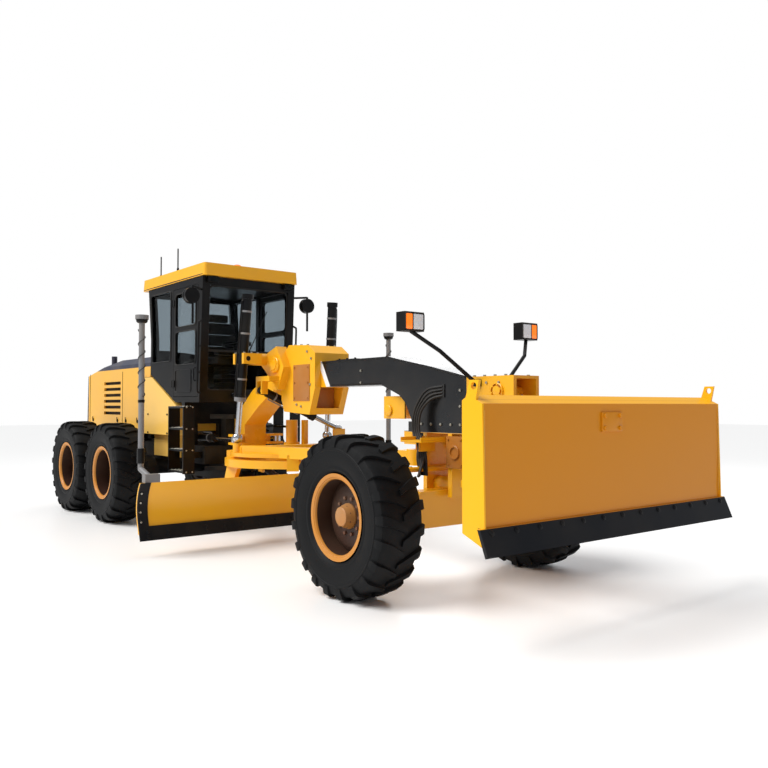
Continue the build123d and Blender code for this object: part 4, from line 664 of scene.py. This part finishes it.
def pipe(mesh, points, radius, tight=0.5, sides=10, closed=False):
    """A tube or hose through points; tight is how much of each side the bend takes."""
    points = [Vector(point) for point in points]
    count = len(points)
    path = [] if closed else [points[0]]
    for index in range(count) if closed else range(1, count - 1):
        before = points[index - 1]
        corner = points[index]
        after = points[(index + 1) % count]
        enter = corner.lerp(before, tight)
        leave = corner.lerp(after, tight)
        for step in range(7):
            t = step / 6
            path.append(enter.lerp(corner, t).lerp(corner.lerp(leave, t), t))
    if not closed:
        path.append(points[-1])
    path = [a for a, b in zip(path, path[1:] + [None]) if b is None or (a - b).length > 1e-5]
    across = (path[1] - path[0]).orthogonal().normalized()
    rings = []
    for index, place in enumerate(path):
        before = path[index - 1] if closed or index else place
        after = path[(index + 1) % len(path)] if closed or index + 1 < len(path) else place
        heading = (after - before).normalized()
        across = (across - heading * across.dot(heading)).normalized()
        up = heading.cross(across)
        ring = []
        for k in range(sides):
            angle = 2 * pi * k / sides
            ring.append(mesh.verts.new(place + (across * cos(angle) + up * sin(angle)) * radius))
        rings.append(ring)
    pairs = list(zip(rings, rings[1:]))
    if closed:
        pairs.append((rings[-1], rings[0]))
    for near, far in pairs:
        for k in range(sides):
            following = (k + 1) % sides
            mesh.faces.new((near[k], near[following], far[following], far[k]))
    if not closed:
        mesh.faces.new(rings[0])
        mesh.faces.new(rings[-1])


def skin(node, start, direction):
    """Where a line from start meets a CAD node, lifted 0.3 mm, and the way that the skin faces."""
    hit, place, normal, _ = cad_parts[node].ray_cast(Vector(start), Vector(direction))
    if not hit:
        raise RuntimeError(f"no skin of {node} under {start}")
    return place + normal * 0.0003, normal


def bolts_on(mesh, node, starts, direction, radius, height=None):
    """Bolt heads seated on a CAD node, one below each start."""
    for start in starts:
        place, normal = skin(node, start, direction)
        hexagon(mesh, place, normal, radius, height or radius * 0.9)


def spaced(first, last, count):
    """Points spaced evenly from first to last."""
    return [Vector(first).lerp(Vector(last), k / (count - 1)) for k in range(count)]


BACK = (-1, 0, 0)
DOWN = (0, 0, -1)
PAD_Y = -0.085
PAD_Z = 1.45
pad_skin, _ = skin("dozer_blade", (5.5, PAD_Y, PAD_Z), BACK)
mesh = bmesh.new()
pad_low = (pad_skin.x, PAD_Y - 0.12, PAD_Z - 0.07)
pad_high = (pad_skin.x + 0.014, PAD_Y + 0.12, PAD_Z + 0.07)
cuboid(mesh, pad_low, pad_high, 0.003)
for across in (-0.09, 0.09):
    for up in (-0.045, 0.045):
        hexagon(mesh, (pad_skin.x + 0.014, PAD_Y + across, PAD_Z + up), (1, 0, 0), 0.017, 0.012)
finished("dozer_pad", mesh, dozer_shaded_face_paint, "dozer_blade")

mesh = bmesh.new()
for y in spaced((0, -1.36, 0), (0, 1.36, 0), 13):
    place, normal = skin("dozer_blade", (5.5, y.y, 0.775), BACK)
    turned(mesh, place, normal, ((0, 0.021), (0.004, 0.020), (0.008, 0.015), (0.0095, 0.0001)), 16)
finished("dozer_plow_bolts", mesh, edge_steel, "dozer_blade")

mesh = bmesh.new()
dozer_top, _ = skin("dozer_blade", (4.92, 0, 2.0), DOWN)
pipe(mesh, ((4.9, -1.40, dozer_top.z + 0.004), (4.9, 1.40, dozer_top.z + 0.004)), 0.005)
for _, side in SIDES:
    # fillet weld down each side plate
    weld_path = []
    for step in range(9):
        z = 0.86 + step * 0.085
        place, _ = skin("dozer_blade", (5.5, side * 1.385, z), BACK)
        weld_path.append((place.x + 0.001, side * 1.3935, z))
    pipe(mesh, weld_path, 0.006, sides=8)
finished("dozer_welds", mesh, weld_yellow, "dozer_blade")

# ---------------------------------------------------------------- nose fittings
# Fabricated nose bolted to the box frame: pin bosses with keeper plates, a bolted flange, lower brackets
# with a raised ring painted brown as painted shade, and yellow step ledges above the front axle.
def plate(mesh, side, low, high, bevel=0.004):
    """A block given by its corners on the left side, laid on the side that is asked for."""
    near, far = sorted((side * low[1], side * high[1]))
    cuboid(mesh, (low[0], near, low[2]), (high[0], far, high[2]), bevel)


mesh = bmesh.new()
for _, side in SIDES:
    for x, z, radius in ((3.905, 1.690, 0.066), (3.900, 1.330, 0.058)):
        foot = side * 0.1553
        turned(mesh, (x, foot, z), (0, side, 0), ((0, radius), (0.016, radius), (0.02, radius - 0.006)), 40)
        turned(mesh, (x, foot + side * 0.02, z), (0, side, 0), ((0, radius * 0.62), (0.006, 0.0001)), 40)
        for k in range(6):
            angle = pi * k / 3 + 0.3
            reach = radius * 0.78
            at = (x + reach * cos(angle), foot + side * 0.019, z + reach * sin(angle))
            hexagon(mesh, at, (0, side, 0), 0.0075, 0.007)
finished("nose_pin_bosses", mesh, yellow_paint, "front_frame")

mesh = bmesh.new()
for _, side in SIDES:
    for z in (1.36, 1.48, 1.60, 1.72):
        hexagon(mesh, (3.5805, side * 0.1403, z), (1, 0, 0), 0.014, 0.013)
    for x in (3.62, 3.74, 3.86, 3.98):
        hexagon(mesh, (x, side * 0.1375, 1.8153), (0, 0, 1), 0.013, 0.012)
for x in (3.64, 3.78, 3.92):
    for _, side in SIDES:
        hexagon(mesh, (x, side * 0.1553, 1.76), (0, side, 0), 0.012, 0.011)
finished("nose_bolts", mesh, bolt_zinc, "front_frame", 0.5)

# Painted shade: a brown that stands for the yellow paint in shadow, used on the lower nose brackets and the
# panels on the beam by the saddle.
shade_brown_plate = coated("bracket_painted_shade", srgb(168, 104, 34), dust=0.2, gloss=(0.35, 0.55))
mesh = bmesh.new()
for _, side in SIDES:
    plate(mesh, side, (3.30, 0.1605, 1.02), (3.52, 0.1755, 1.30), 0.005)
    turned(
        mesh,
        (3.41, side * 0.1758, 1.16),
        (0, side, 0),
        ((0, 0.062), (0.012, 0.062), (0.015, 0.058), (0.015, 0.044), (0.003, 0.042), (0.003, 0.0001)),
        40,
    )
    for x in (3.33, 3.49):
        for z in (1.05, 1.27):
            hexagon(mesh, (x, side * 0.1758, z), (0, side, 0), 0.011, 0.010)
    # ribs between the bracket and the box frame
    for x in (3.31, 3.49):
        plate(mesh, side, (x, 0.150, 1.02), (x + 0.02, 0.162, 1.30), 0.003)
finished("nose_side_brackets", mesh, shade_brown_plate, "front_frame")

mesh = bmesh.new()
for _, side in SIDES:
    plate(mesh, side, (2.99, 0.156, 1.245), (3.27, 0.44, 1.262))
    plate(mesh, side, (2.99, 0.156, 1.262), (3.002, 0.44, 1.290), 0.003)
    plate(mesh, side, (3.258, 0.156, 1.262), (3.27, 0.44, 1.290), 0.003)
    for x in (3.04, 3.13, 3.22):
        hexagon(mesh, (x, side * 0.20, 1.2623), (0, 0, 1), 0.011, 0.010)
    # gusset under each ledge
    plate(mesh, side, (3.12, 0.156, 1.16), (3.14, 0.34, 1.245))
finished("axle_ledges", mesh, yellow_paint, "front_frame")

# ---------------------------------------------------------------- main beam fittings
# Box beam of the front frame: weld beads along its seams, bolted cover plates, a two-eared bracket
# behind the down leg, and hoses led along the side to the axle. Hoses are rubber over wire braid.
mesh = bmesh.new()
for _, side in SIDES:
    seam = []
    for x in (1.31, 1.7, 2.1, 2.44, 2.65, 3.05, 3.52):
        top, _ = skin("front_frame", (x, side * 0.14, 2.4), DOWN)
        seam.append((x, side * 0.1505, top.z - 0.016))
    pipe(mesh, seam, 0.006, 0.3, 8)
    seam = []
    for x in (1.48, 1.9, 2.33):
        under, _ = skin("front_frame", (x, side * 0.14, 1.0), (0, 0, 1))
        seam.append((x, side * 0.1505, under.z + 0.016))
    pipe(mesh, seam, 0.006, 0.3, 8)
finished("beam_welds", mesh, black_enamel, "front_frame")

mesh = bmesh.new()
cuboid(mesh, (1.52, -0.105, 2.0453), (1.86, 0.105, 2.0563), 0.003)
for y in (-0.085, 0.085):
    for x in (1.55, 1.69, 1.83):
        hexagon(mesh, (x, y, 2.0566), (0, 0, 1), 0.011, 0.010)
finished("beam_cover", mesh, black_enamel, "front_frame")

mesh = bmesh.new()
for _, side in SIDES:
    foot = side * 0.1503
    places = [(2.02, 1.80), (2.02, 1.92)] + [(x, 1.40) for x in (2.95, 3.08, 3.21, 3.34, 3.46)]
    for x, z in places + [(3.46, 1.56), (3.46, 1.70)]:
        hexagon(mesh, (x, foot, z), (0, side, 0), 0.013, 0.012)
finished("beam_side_bolts", mesh, bolt_zinc, "front_frame", 0.5)

mesh = bmesh.new()
for _, side in SIDES:
    plate(mesh, side, (2.30, 0.060, 1.44), (2.62, 0.080, 1.66), 0.006)
    turned(
        mesh,
        (2.38, side * 0.0805, 1.52),
        (0, side, 0),
        ((0, 0.055), (0.016, 0.055), (0.020, 0.049), (0.020, 0.0001)),
        36,
    )
cuboid(mesh, (2.33, -0.062, 1.60), (2.60, 0.062, 1.62), 0.004)
finished("beam_ears", mesh, yellow_paint, "front_frame")

HOSE_R = 0.0135
mesh = bmesh.new()
for k in range(4):
    pipe(
        mesh,
        (
            (2.90 + k * 0.03, -0.125, 1.315),
            (2.91 + k * 0.03, -0.13, 1.26 - k * 0.01),
            (3.02 + k * 0.035, -0.27, 1.10),
            (3.04 + k * 0.045, -0.24 - k * 0.05, 0.945),
        ),
        HOSE_R,
        0.4,
    )
for k in range(4):
    shift = k * 0.028
    pipe(
        mesh,
        (
            (3.24, -0.153, 1.74 - shift),
            (3.05 + shift, -0.20, 1.72 - shift),
            (2.94 + shift, -0.24, 1.52),
            (2.93 + shift, -0.25, 1.33),
            (3.04 + shift, -0.26, 1.20),
            (3.07 + shift, -0.27, 0.945),
        ),
        HOSE_R * 0.85,
        0.45,
    )
cuboid(mesh, (3.232, -0.160, 1.640), (3.262, -0.1505, 1.760), 0.003)
finished("beam_hoses", mesh, hose_black, "front_frame")


# ---------------------------------------------------------------- saddle and cylinder fittings
# Cast trunnion bosses closed by bolted caps, a collar bolted round the beam, and cylinders with
# turned glands, clamp bands and hard steel oil pipes along their barrels.
mesh = bmesh.new()
for _, side in SIDES:
    place, _ = skin("lift_saddle", (0.64, side * 0.9, 2.02), (0, -side, 0))
    turned(
        mesh,
        (0.62, place.y, 2.03),
        (0, side, 0),
        ((0, 0.092), (0.018, 0.092), (0.024, 0.084), (0.024, 0.060), (0.034, 0.056), (0.034, 0.0001)),
        44,
    )
    for k in range(8):
        angle = pi * k / 4 + 0.2
        at = (0.62 + 0.074 * cos(angle), place.y + side * 0.0243, 2.03 + 0.074 * sin(angle))
        hexagon(mesh, at, (0, side, 0), 0.009, 0.008)
finished("saddle_caps", mesh, yellow_paint, "front_frame")

# The panels on the beam by the saddle are painted brown as painted shade.
mesh = bmesh.new()
cuboid(mesh, (1.105, -0.1485, 1.5408), (1.118, 0.1485, 1.7625), 0.004)
for _, side in SIDES:
    plate(mesh, side, (0.86, 0.2253, 1.62), (1.19, 0.2323, 2.02), 0.003)
    for x in (0.89, 1.16):
        for z in (1.65, 1.82, 1.99):
            hexagon(mesh, (x, side * 0.2326, z), (0, side, 0), 0.012, 0.010)
finished("saddle_panels", mesh, shade_brown_plate, "front_frame")

mesh = bmesh.new()
for _, side in SIDES:
    places = ((0.93, 1.58), (1.02, 1.56), (1.20, 1.80), (1.22, 2.08), (1.14, 2.16))
    bolts_on(mesh, "lift_saddle", [(x, side * 0.6, z) for x, z in places], (0, -side, 0), 0.014)
    for end in (-1, 1):
        starts = [(0.38 + end * 0.104, side * y, 2.4) for y in (0.47, 0.55, 0.64)]
        bolts_on(mesh, "lift_saddle", starts, DOWN, 0.013)
bolts_on(mesh, "lift_saddle", [(x, y, 2.4) for x in (0.82, 0.95, 1.08) for y in (-0.18, 0.18)], DOWN, 0.014)
finished("saddle_bolts", mesh, bolt_zinc, "front_frame", 0.5)

for side_name, side in SIDES:
    # oil ports and pipes that swing with the barrels
    mesh = bmesh.new()
    pivot = Vector((0.38, side * 0.60, 2.10))
    eye = Vector((0.29, side * 0.62, 1.20))
    line = (eye - pivot).normalized()
    out = Vector((0, side, 0))
    out = (out - line * out.dot(line)).normalized()
    pipe_line = []
    for along, reach in ((-0.66, 0.052), (-0.66, 0.082), (-0.12, 0.082), (-0.05, 0.090), (0.05, 0.090)):
        pipe_line.append(pivot + line * along + out * (reach - 0.012))
    pipe_line.append(pivot + line * 0.12 + out * 0.070)
    pipe_line.append(pivot + line * 0.43 + out * 0.070)
    pipe_line.append(pivot + line * 0.43 + out * 0.056)
    pipe(mesh, pipe_line, 0.009, 0.3)
    finished(f"lift_pipe_{side_name}", mesh, black_enamel, f"lift_barrel_{side_name}")
    mesh = bmesh.new()
    for along in (-0.55, -0.30, 0.22):
        ring = ((0, 0.0563), (0, 0.0605), (0.022, 0.0605), (0.022, 0.0563))
        turned(mesh, pivot + line * along, line, ring)
    gland = ((0, 0.0653), (0, 0.0680), (0.040, 0.0680), (0.048, 0.062), (0.048, 0.0340))
    turned(mesh, pivot + line * 0.438, line, gland)
    finished(f"lift_bands_{side_name}", mesh, plain_grey, f"lift_barrel_{side_name}")

for name, start, end, radius in (
    ("shift", (0.47, -0.40, 1.74), (0.56, 0.59, 1.29), 0.048),
    ("dozer_lift", (3.905, 0.0, 1.69), (4.43, 0.0, 1.13), 0.0505),
    ("articulation_right", (-1.56, -0.273, 1.15), (-0.39, -0.30, 1.15), 0.054),
    ("articulation_left", (-1.56, 0.273, 1.15), (-0.39, 0.30, 1.15), 0.054),
):
    mesh = bmesh.new()
    axis = (Vector(end) - Vector(start)).normalized()
    above = (Vector((0, 0, 1)) - axis * axis.z).normalized()
    if name == "shift":
        above.negate()
    reach = 0.36 if name == "dozer_lift" else 0.52
    clamp = ((0, radius + 0.0003), (0, radius + 0.005), (0.02, radius + 0.005), (0.02, radius + 0.0003))
    for k in range(2):
        turned(mesh, Vector(start) + axis * (0.16 + k * (reach - 0.2)), axis, clamp)
    foot = Vector(start) + axis * 0.11
    tip = Vector(start) + axis * reach
    pipe(
        mesh,
        (
            foot + above * (radius - 0.002),
            foot + above * (radius + 0.016),
            tip + above * (radius + 0.016),
            tip + above * (radius - 0.002),
        ),
        0.008,
        0.12,
    )
    finished(f"{name}_bands", mesh, plain_grey, f"{name}_barrel")

# ---------------------------------------------------------------- moldboard fittings
# Curved blade with a bolted cutting edge: plow bolts along it, and bolts up the end bits. Each
# mast carries a flat receiver on its top, two clamp collars and a wound cable.
mesh = bmesh.new()
for y in spaced((0, -1.74, 0), (0, 1.74, 0), 17):
    for z in (0.215, 0.262):
        hit, place, normal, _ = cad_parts["moldboard_edge"].ray_cast(Vector((1.2, y.y, z)), Vector(BACK))
        if hit:
            section = ((0, 0.018), (0.004, 0.017), (0.007, 0.012), (0.008, 0.0001))
            turned(mesh, place + normal * 0.0003, normal, section, 14)
finished("moldboard_plow_bolts", mesh, edge_steel, "moldboard")

mesh = bmesh.new()
for _, side in SIDES:
    bolts_on(mesh, "moldboard_edge", [(1.2, side * 1.80, z) for z in (0.36, 0.46, 0.56, 0.66)], BACK, 0.011)
finished("end_bit_bolts", mesh, bolt_zinc, "moldboard", 0.5)

mesh = bmesh.new()
cables = bmesh.new()
for _, side in SIDES:
    y = side * 1.70
    turned(
        mesh,
        (0.16, y, 2.455),
        (0, 0, 1),
        (
            (0, 0.031),
            (0, 0.045),
            (0.012, 0.058),
            (0.060, 0.066),
            (0.074, 0.062),
            (0.084, 0.040),
            (0.0845, 0.0001),
        ),
        40,
    )
    turned(mesh, (0.16, y, 0.95), (0, 0, 1), ((0, 0.0305), (0, 0.041), (0.16, 0.041), (0.16, 0.0305)), 28)
    turned(mesh, (0.16, y, 1.60), (0, 0, 1), ((0, 0.0305), (0, 0.036), (0.03, 0.036), (0.03, 0.0305)), 28)
    coil = [(0.16 + 0.04 * cos(0.9 * k), y + 0.04 * sin(0.9 * k), 1.66 + 0.022 * k) for k in range(34)]
    pipe(cables, coil, 0.0045, 0.5, 6)
finished("mast_receivers", mesh, black_enamel, "moldboard")
finished("mast_cables", cables, hose_black, "moldboard")

# ---------------------------------------------------------------- cab fittings
# Pressed steel cab with rubber-bonded safety glass, a wiper, grab rails, mirrors, work lamps under
# the eaves and an amber beacon on the roof. The doors carry panes, seals and handles of their own.
DOOR_REAR_X = -1.333
DOOR_FRONT_X = -0.727
DOOR_PANES = ((2.09, 2.52), (2.58, 3.01))
for side_name, side in SIDES:
    mesh = bmesh.new()
    pane_y = side * 0.638
    for low_z, high_z in DOOR_PANES:
        pane_low = (DOOR_REAR_X, pane_y - 0.003, low_z + 0.002)
        pane_high = (DOOR_FRONT_X, pane_y + 0.003, high_z - 0.002)
        cuboid(mesh, pane_low, pane_high, 0.002)
    finished(f"door_glass_{side_name}", mesh, tinted, f"door_{side_name}")
    mesh = bmesh.new()
    for low_z, high_z in DOOR_PANES:
        loop = (
            (DOOR_REAR_X, high_z),
            (DOOR_FRONT_X, high_z),
            (DOOR_FRONT_X, low_z),
            (DOOR_REAR_X, low_z),
        )
        pipe(mesh, [(x, side * 0.6625, z) for x, z in loop], 0.009, 0.12, 8, closed=True)
    finished(f"door_seals_{side_name}", mesh, gasket_black, f"door_{side_name}")
    mesh = bmesh.new()
    # pull handle, lock barrel and a pressed frame on the lower panel
    pipe(
        mesh,
        [(-0.74, side * y, z) for y, z in ((0.661, 1.88), (0.682, 1.885), (0.682, 2.035), (0.661, 2.04))],
        0.007,
        0.3,
    )
    lock = ((0, 0.022), (0.008, 0.022), (0.010, 0.018), (0.010, 0.0001))
    turned(mesh, (-0.80, side * 0.6605, 1.96), (0, side, 0), lock)
    panel = ((-1.33, 2.03), (-0.86, 2.03), (-0.86, 1.74), (-1.33, 1.74))
    pipe(mesh, [(x, side * 0.6615, z) for x, z in panel], 0.006, 0.12, 8, closed=True)
    finished(f"door_fittings_{side_name}", mesh, black_enamel, f"door_{side_name}")

screen = []
for y, z in ((-0.56, 1.762), (0.56, 1.762), (0.56, 3.058), (-0.56, 3.058)):
    place, _ = skin("cab_glass", (0.5, y * 0.99, z + (0.012 if z < 2 else -0.012)), BACK)
    screen.append((place.x + 0.006, y, z))
mesh = bmesh.new()
pipe(mesh, screen, 0.011, 0.06, 8, closed=True)
bar_right = Vector(screen[0]).lerp(Vector(screen[3]), 0.38)
bar_left = Vector(screen[1]).lerp(Vector(screen[2]), 0.38)
pipe(mesh, [bar_right, bar_right.lerp(bar_left, 0.5), bar_left], 0.014, 0.2, 8)
for _, side in SIDES:
    corners = ((-2.088, 2.152), (-1.482, 2.152), (-1.482, 3.078), (-2.152, 3.078), (-2.088, 2.48))
    pipe(mesh, [(x, side * 0.6615, z) for x, z in corners], 0.009, 0.08, 8, closed=True)
finished("cab_seals", mesh, gasket_black, "rear_frame")

mesh = bmesh.new()
wiper_motor = ((0, 0.030), (0.045, 0.030), (0.055, 0.022), (0.055, 0.0001))
turned(mesh, (-0.610, -0.20, 1.70), (1, 0, 0), wiper_motor)
pipe(mesh, ((-0.562, -0.20, 1.70), (-0.545, -0.14, 2.00), (-0.535, 0.02, 2.34)), 0.007, 0.3)
pipe(mesh, ((-0.552, -0.16, 1.92), (-0.530, 0.03, 2.36), (-0.508, 0.22, 2.78)), 0.006, 0.3)
for _, side in SIDES:
    # grab rail up the front pillar on three stand-offs
    y = side * 0.700
    wall_y = side * 0.655
    rail = ((-0.60, wall_y, 1.72), (-0.60, y, 1.74), (-0.56, y, 2.60), (-0.56, wall_y, 2.62))
    pipe(mesh, rail, 0.013, 0.1)
    for z in (1.98, 2.30):
        x = -0.60 + (z - 1.74) * 0.046
        pipe(mesh, ((x, wall_y, z), (x, y, z)), 0.009)
    # mirror casing
    turned(
        mesh,
        (-0.512, side * 0.83, 2.90),
        BACK,
        (
            (0, 0.0001),
            (0, 0.060),
            (0.004, 0.082),
            (0.012, 0.0965),
            (0.030, 0.0975),
            (0.036, 0.0955),
            (0.036, 0.0001),
        ),
        40,
    )
finished("cab_rails", mesh, black_enamel, "rear_frame")

lamp_glass = coated("lamp_lens", srgb(228, 232, 238), dust=0.02, gloss=(0.05, 0.12), clearcoat=0.6, grain=0.0)
amber = coated("amber_lens", srgb(255, 120, 8), dust=0.02, gloss=(0.08, 0.15), clearcoat=0.5, grain=0.0)
amber.node_tree.nodes["Principled BSDF"].inputs["Emission Color"].default_value = srgb(255, 120, 10)
amber.node_tree.nodes["Principled BSDF"].inputs["Emission Strength"].default_value = 0.7
red_lens = coated("red_lens", srgb(196, 18, 14), dust=0.05, gloss=(0.08, 0.2), clearcoat=0.5, grain=0.0)
ROOF_SKIN_Z = 3.3273
mesh = bmesh.new()
turned(
    mesh,
    (-0.90, 0.0, ROOF_SKIN_Z),
    (0, 0, 1),
    (
        (0, 0.078),
        (0.010, 0.078),
        (0.014, 0.072),
        (0.020, 0.068),
        (0.022, 0.064),
        (0.056, 0.0635),
        (0.080, 0.052),
        (0.092, 0.026),
        (0.094, 0.0001),
    ),
    40,
)
finished("beacon", mesh, amber, "rear_frame")

housings = bmesh.new()
lenses = bmesh.new()
for y in (-0.54, 0.54):
    cuboid(housings, (-0.545, y - 0.068, 3.087), (-0.482, y + 0.068, 3.166), 0.010)
    cuboid(lenses, (-0.484, y - 0.058, 3.095), (-0.477, y + 0.058, 3.158), 0.003)
for y in (-0.52, 0.52):
    cuboid(housings, (-2.405, y - 0.068, 3.087), (-2.335, y + 0.068, 3.166), 0.010)
    cuboid(lenses, (-2.411, y - 0.058, 3.095), (-2.404, y + 0.058, 3.158), 0.003)
finished("roof_lamps", housings, black_enamel, "rear_frame")
finished("roof_lamp_lenses", lenses, tinted, "rear_frame")

mesh = bmesh.new()
for _, side in SIDES:
    # drip rail along the eaves and gutter bolts
    eaves = ((-2.38, side * 0.668, 3.185), (-1.4, side * 0.672, 3.185), (-0.52, side * 0.668, 3.185))
    pipe(mesh, eaves, 0.008, 0.2, 8)
    for x in (-2.2, -1.7, -1.2, -0.7):
        hexagon(mesh, (x, side * 0.55, ROOF_SKIN_Z), (0, 0, 1), 0.014, 0.010)
for x, y in ((-2.2, -0.50), (-1.5, -0.56)):
    aerial_foot = ((0, 0.030), (0.012, 0.030), (0.020, 0.018), (0.070, 0.014), (0.075, 0.0092))
    turned(mesh, (x, y, ROOF_SKIN_Z), (0, 0, 1), aerial_foot)
finished("roof_trim", mesh, black_enamel, "rear_frame")

# ---------------------------------------------------------------- driver's seat
# Suspension seat: moulded foam cushion and backrest in black cloth, over a base hidden by rubber
# bellows and bolted to the cab floor.
cloth = coated("seat_cloth", srgb(34, 35, 40), dust=0.25, gloss=(0.8, 0.95), grain=0.6)
mesh = bmesh.new()
cuboid(mesh, (-1.385, -0.245, 2.105), (-0.975, 0.245, 2.195), 0.040)
cuboid(mesh, (-1.370, -0.250, 2.130), (-0.965, -0.165, 2.215), 0.034)
cuboid(mesh, (-1.370, 0.165, 2.130), (-0.965, 0.250, 2.215), 0.034)
for z, near_x, half, depth, tall in (
    (2.215, -1.375, 0.225, 0.085, 0.152),
    (2.375, -1.392, 0.230, 0.085, 0.152),
    (2.535, -1.410, 0.225, 0.085, 0.152),
    (2.695, -1.428, 0.140, 0.070, 0.112),
):
    cuboid(mesh, (near_x - 0.045, -half, z), (near_x - 0.045 + depth, half, z + tall), 0.032)
for fold in range(5):
    z = 1.82 + fold * 0.055
    cuboid(mesh, (-1.275 + fold * 0.002, -0.155, z), (-1.035, 0.155, z + 0.050), 0.020)
cuboid(mesh, (-1.29, -0.20, 1.667), (-1.01, 0.20, 1.815), 0.012)
seat_pad = finished("driver_seat", mesh, cloth, "rear_frame", 0.9)
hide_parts("seat")

# ---------------------------------------------------------------- hood and rear fittings
# Sheet metal hood over the engine: side doors with seams and latches, screens behind the louvres,
# a slatted rear grille, tail lamps, and tread strips and bolts on the side tanks.
mesh = bmesh.new()
for _, side in SIDES:
    for x in (-4.86, -3.40, -2.62):
        place, _ = skin("hood", (x, side * 1.2, 1.24), (0, -side, 0))
        pipe(mesh, [(x, place.y, z) for z in (1.24, 1.6, 2.08)], 0.005, 0.2, 6)
    for x in (-4.70, -3.60, -3.25, -2.80):
        place, _ = skin("hood", (x, side * 1.2, 1.24), (0, -side, 0))
        latch = ((0, 0.026), (0.006, 0.026), (0.009, 0.020), (0.009, 0.0001))
        turned(mesh, (x, place.y, 1.34), (0, side, 0), latch, 24)
        pipe(mesh, [(x, place.y + side * 0.012, z) for z in (1.325, 1.34, 1.395)], 0.006, 0.3, 6)
finished("hood_latches", mesh, black_enamel, "rear_frame")

mesh = bmesh.new()
for _, side in SIDES:
    plate(mesh, side, (-4.45, 0.545, 1.30), (-3.02, 0.553, 2.02), 0.002)
    for fin in range(24):
        x = -4.42 + fin * 0.06
        plate(mesh, side, (x, 0.5535, 1.32), (x + 0.012, 0.558, 2.00), 0.001)
finished("radiator_screens", mesh, frame_black, "rear_frame")

mesh = bmesh.new()
rear_x = skin("hood", (-6.0, 0.0, 1.7), (1, 0, 0))[0].x
for slat in range(15):
    z = 1.36 + slat * 0.042
    cuboid(mesh, (rear_x - 0.016, -0.43, z), (rear_x - 0.001, 0.43, z + 0.020), 0.004)
for y in (-0.45, 0.0, 0.45):
    cuboid(mesh, (rear_x - 0.022, y - 0.018, 1.33), (rear_x - 0.001, y + 0.018, 1.995), 0.004)
for _, side in SIDES:
    plate(mesh, side, (rear_x - 0.030, 0.485, 1.60), (rear_x - 0.001, 0.570, 1.86), 0.006)
finished("rear_grille", mesh, black_enamel, "rear_frame")
for name, material, low_z, high_z in (("stop", red_lens, 1.615, 1.725), ("indicator", amber, 1.735, 1.845)):
    mesh = bmesh.new()
    for _, side in SIDES:
        plate(mesh, side, (rear_x - 0.038, 0.492, low_z), (rear_x - 0.029, 0.563, high_z))
    finished(f"tail_{name}_lamps", mesh, material, "rear_frame")

mesh = bmesh.new()
for _, side in SIDES:
    for x in (-2.50, -2.30, -2.10, -1.90, -1.70, -1.50):
        place, _ = skin("side_tanks", (x, side * 0.60, 2.6), DOWN)
        if place.z > 1.5:
            tread_low = (x - 0.06, side * 0.60 - 0.035, place.z)
            tread_high = (x + 0.06, side * 0.60 + 0.035, place.z + 0.006)
            cuboid(mesh, tread_low, tread_high, 0.002)
    starts = [(x, side * 1.0, z) for x in (-2.25, -1.60) for z in (1.20, 1.45)]
    bolts_on(mesh, "side_tanks", starts, (0, -side, 0), 0.013)
finished("tank_treads", mesh, frame_black, "rear_frame")

# ---------------------------------------------------------------- head lamps
# Twin-lens lamps on tube stalks, in moulded black housings: a clear lens inboard and an amber one
# outboard, both held by a rubber bezel.
clear = bmesh.new()
turn = bmesh.new()
shell = bmesh.new()
for _, side in SIDES:
    face, _ = skin("headlamps", (4.4, side * 0.71, 2.26), BACK)
    back = face.x - 0.02
    front = face.x + 0.006
    plate(clear, side, (back, 0.615, 2.195), (front, 0.725, 2.325), 0.010)
    plate(turn, side, (back, 0.732, 2.195), (front, 0.802, 2.325), 0.010)
    rim = ((0.608, 2.188), (0.809, 2.188), (0.809, 2.332), (0.608, 2.332))
    pipe(shell, [(face.x + 0.002, side * y, z) for y, z in rim], 0.0055, 0.12, 8, closed=True)
    pipe(shell, [(face.x + 0.003, side * 0.7285, z) for z in (2.19, 2.26, 2.33)], 0.004, 0.2, 8)
finished("head_lenses", clear, lamp_glass, "front_frame")
finished("turn_lenses", turn, amber, "front_frame")
finished("lamp_bezels", shell, gasket_black, "front_frame")

# ---------------------------------------------------------------- ladder fittings
# Folded steel tread plates with raised grip studs, bolted at both ends between the ladders' side
# plates.
mesh = bmesh.new()
for _, side in SIDES:
    for rung in range(4):
        z = 0.7643 + rung * 0.265
        for x in (-1.06, -0.98, -0.90, -0.82, -0.74):
            for y in (0.715, 0.765, 0.815):
                turned(mesh, (x, side * y, z), (0, 0, 1), ((0, 0.012), (0.004, 0.009), (0.004, 0.0001)), 10)
        for x, way in ((-1.1323, -1), (-0.6777, 1)):
            for y in (0.72, 0.80):
                hexagon(mesh, (x, side * y, z - 0.012), (way, 0, 0), 0.010, 0.0085)
finished("ladder_studs", mesh, bolt_zinc, "rear_frame", 0.5)
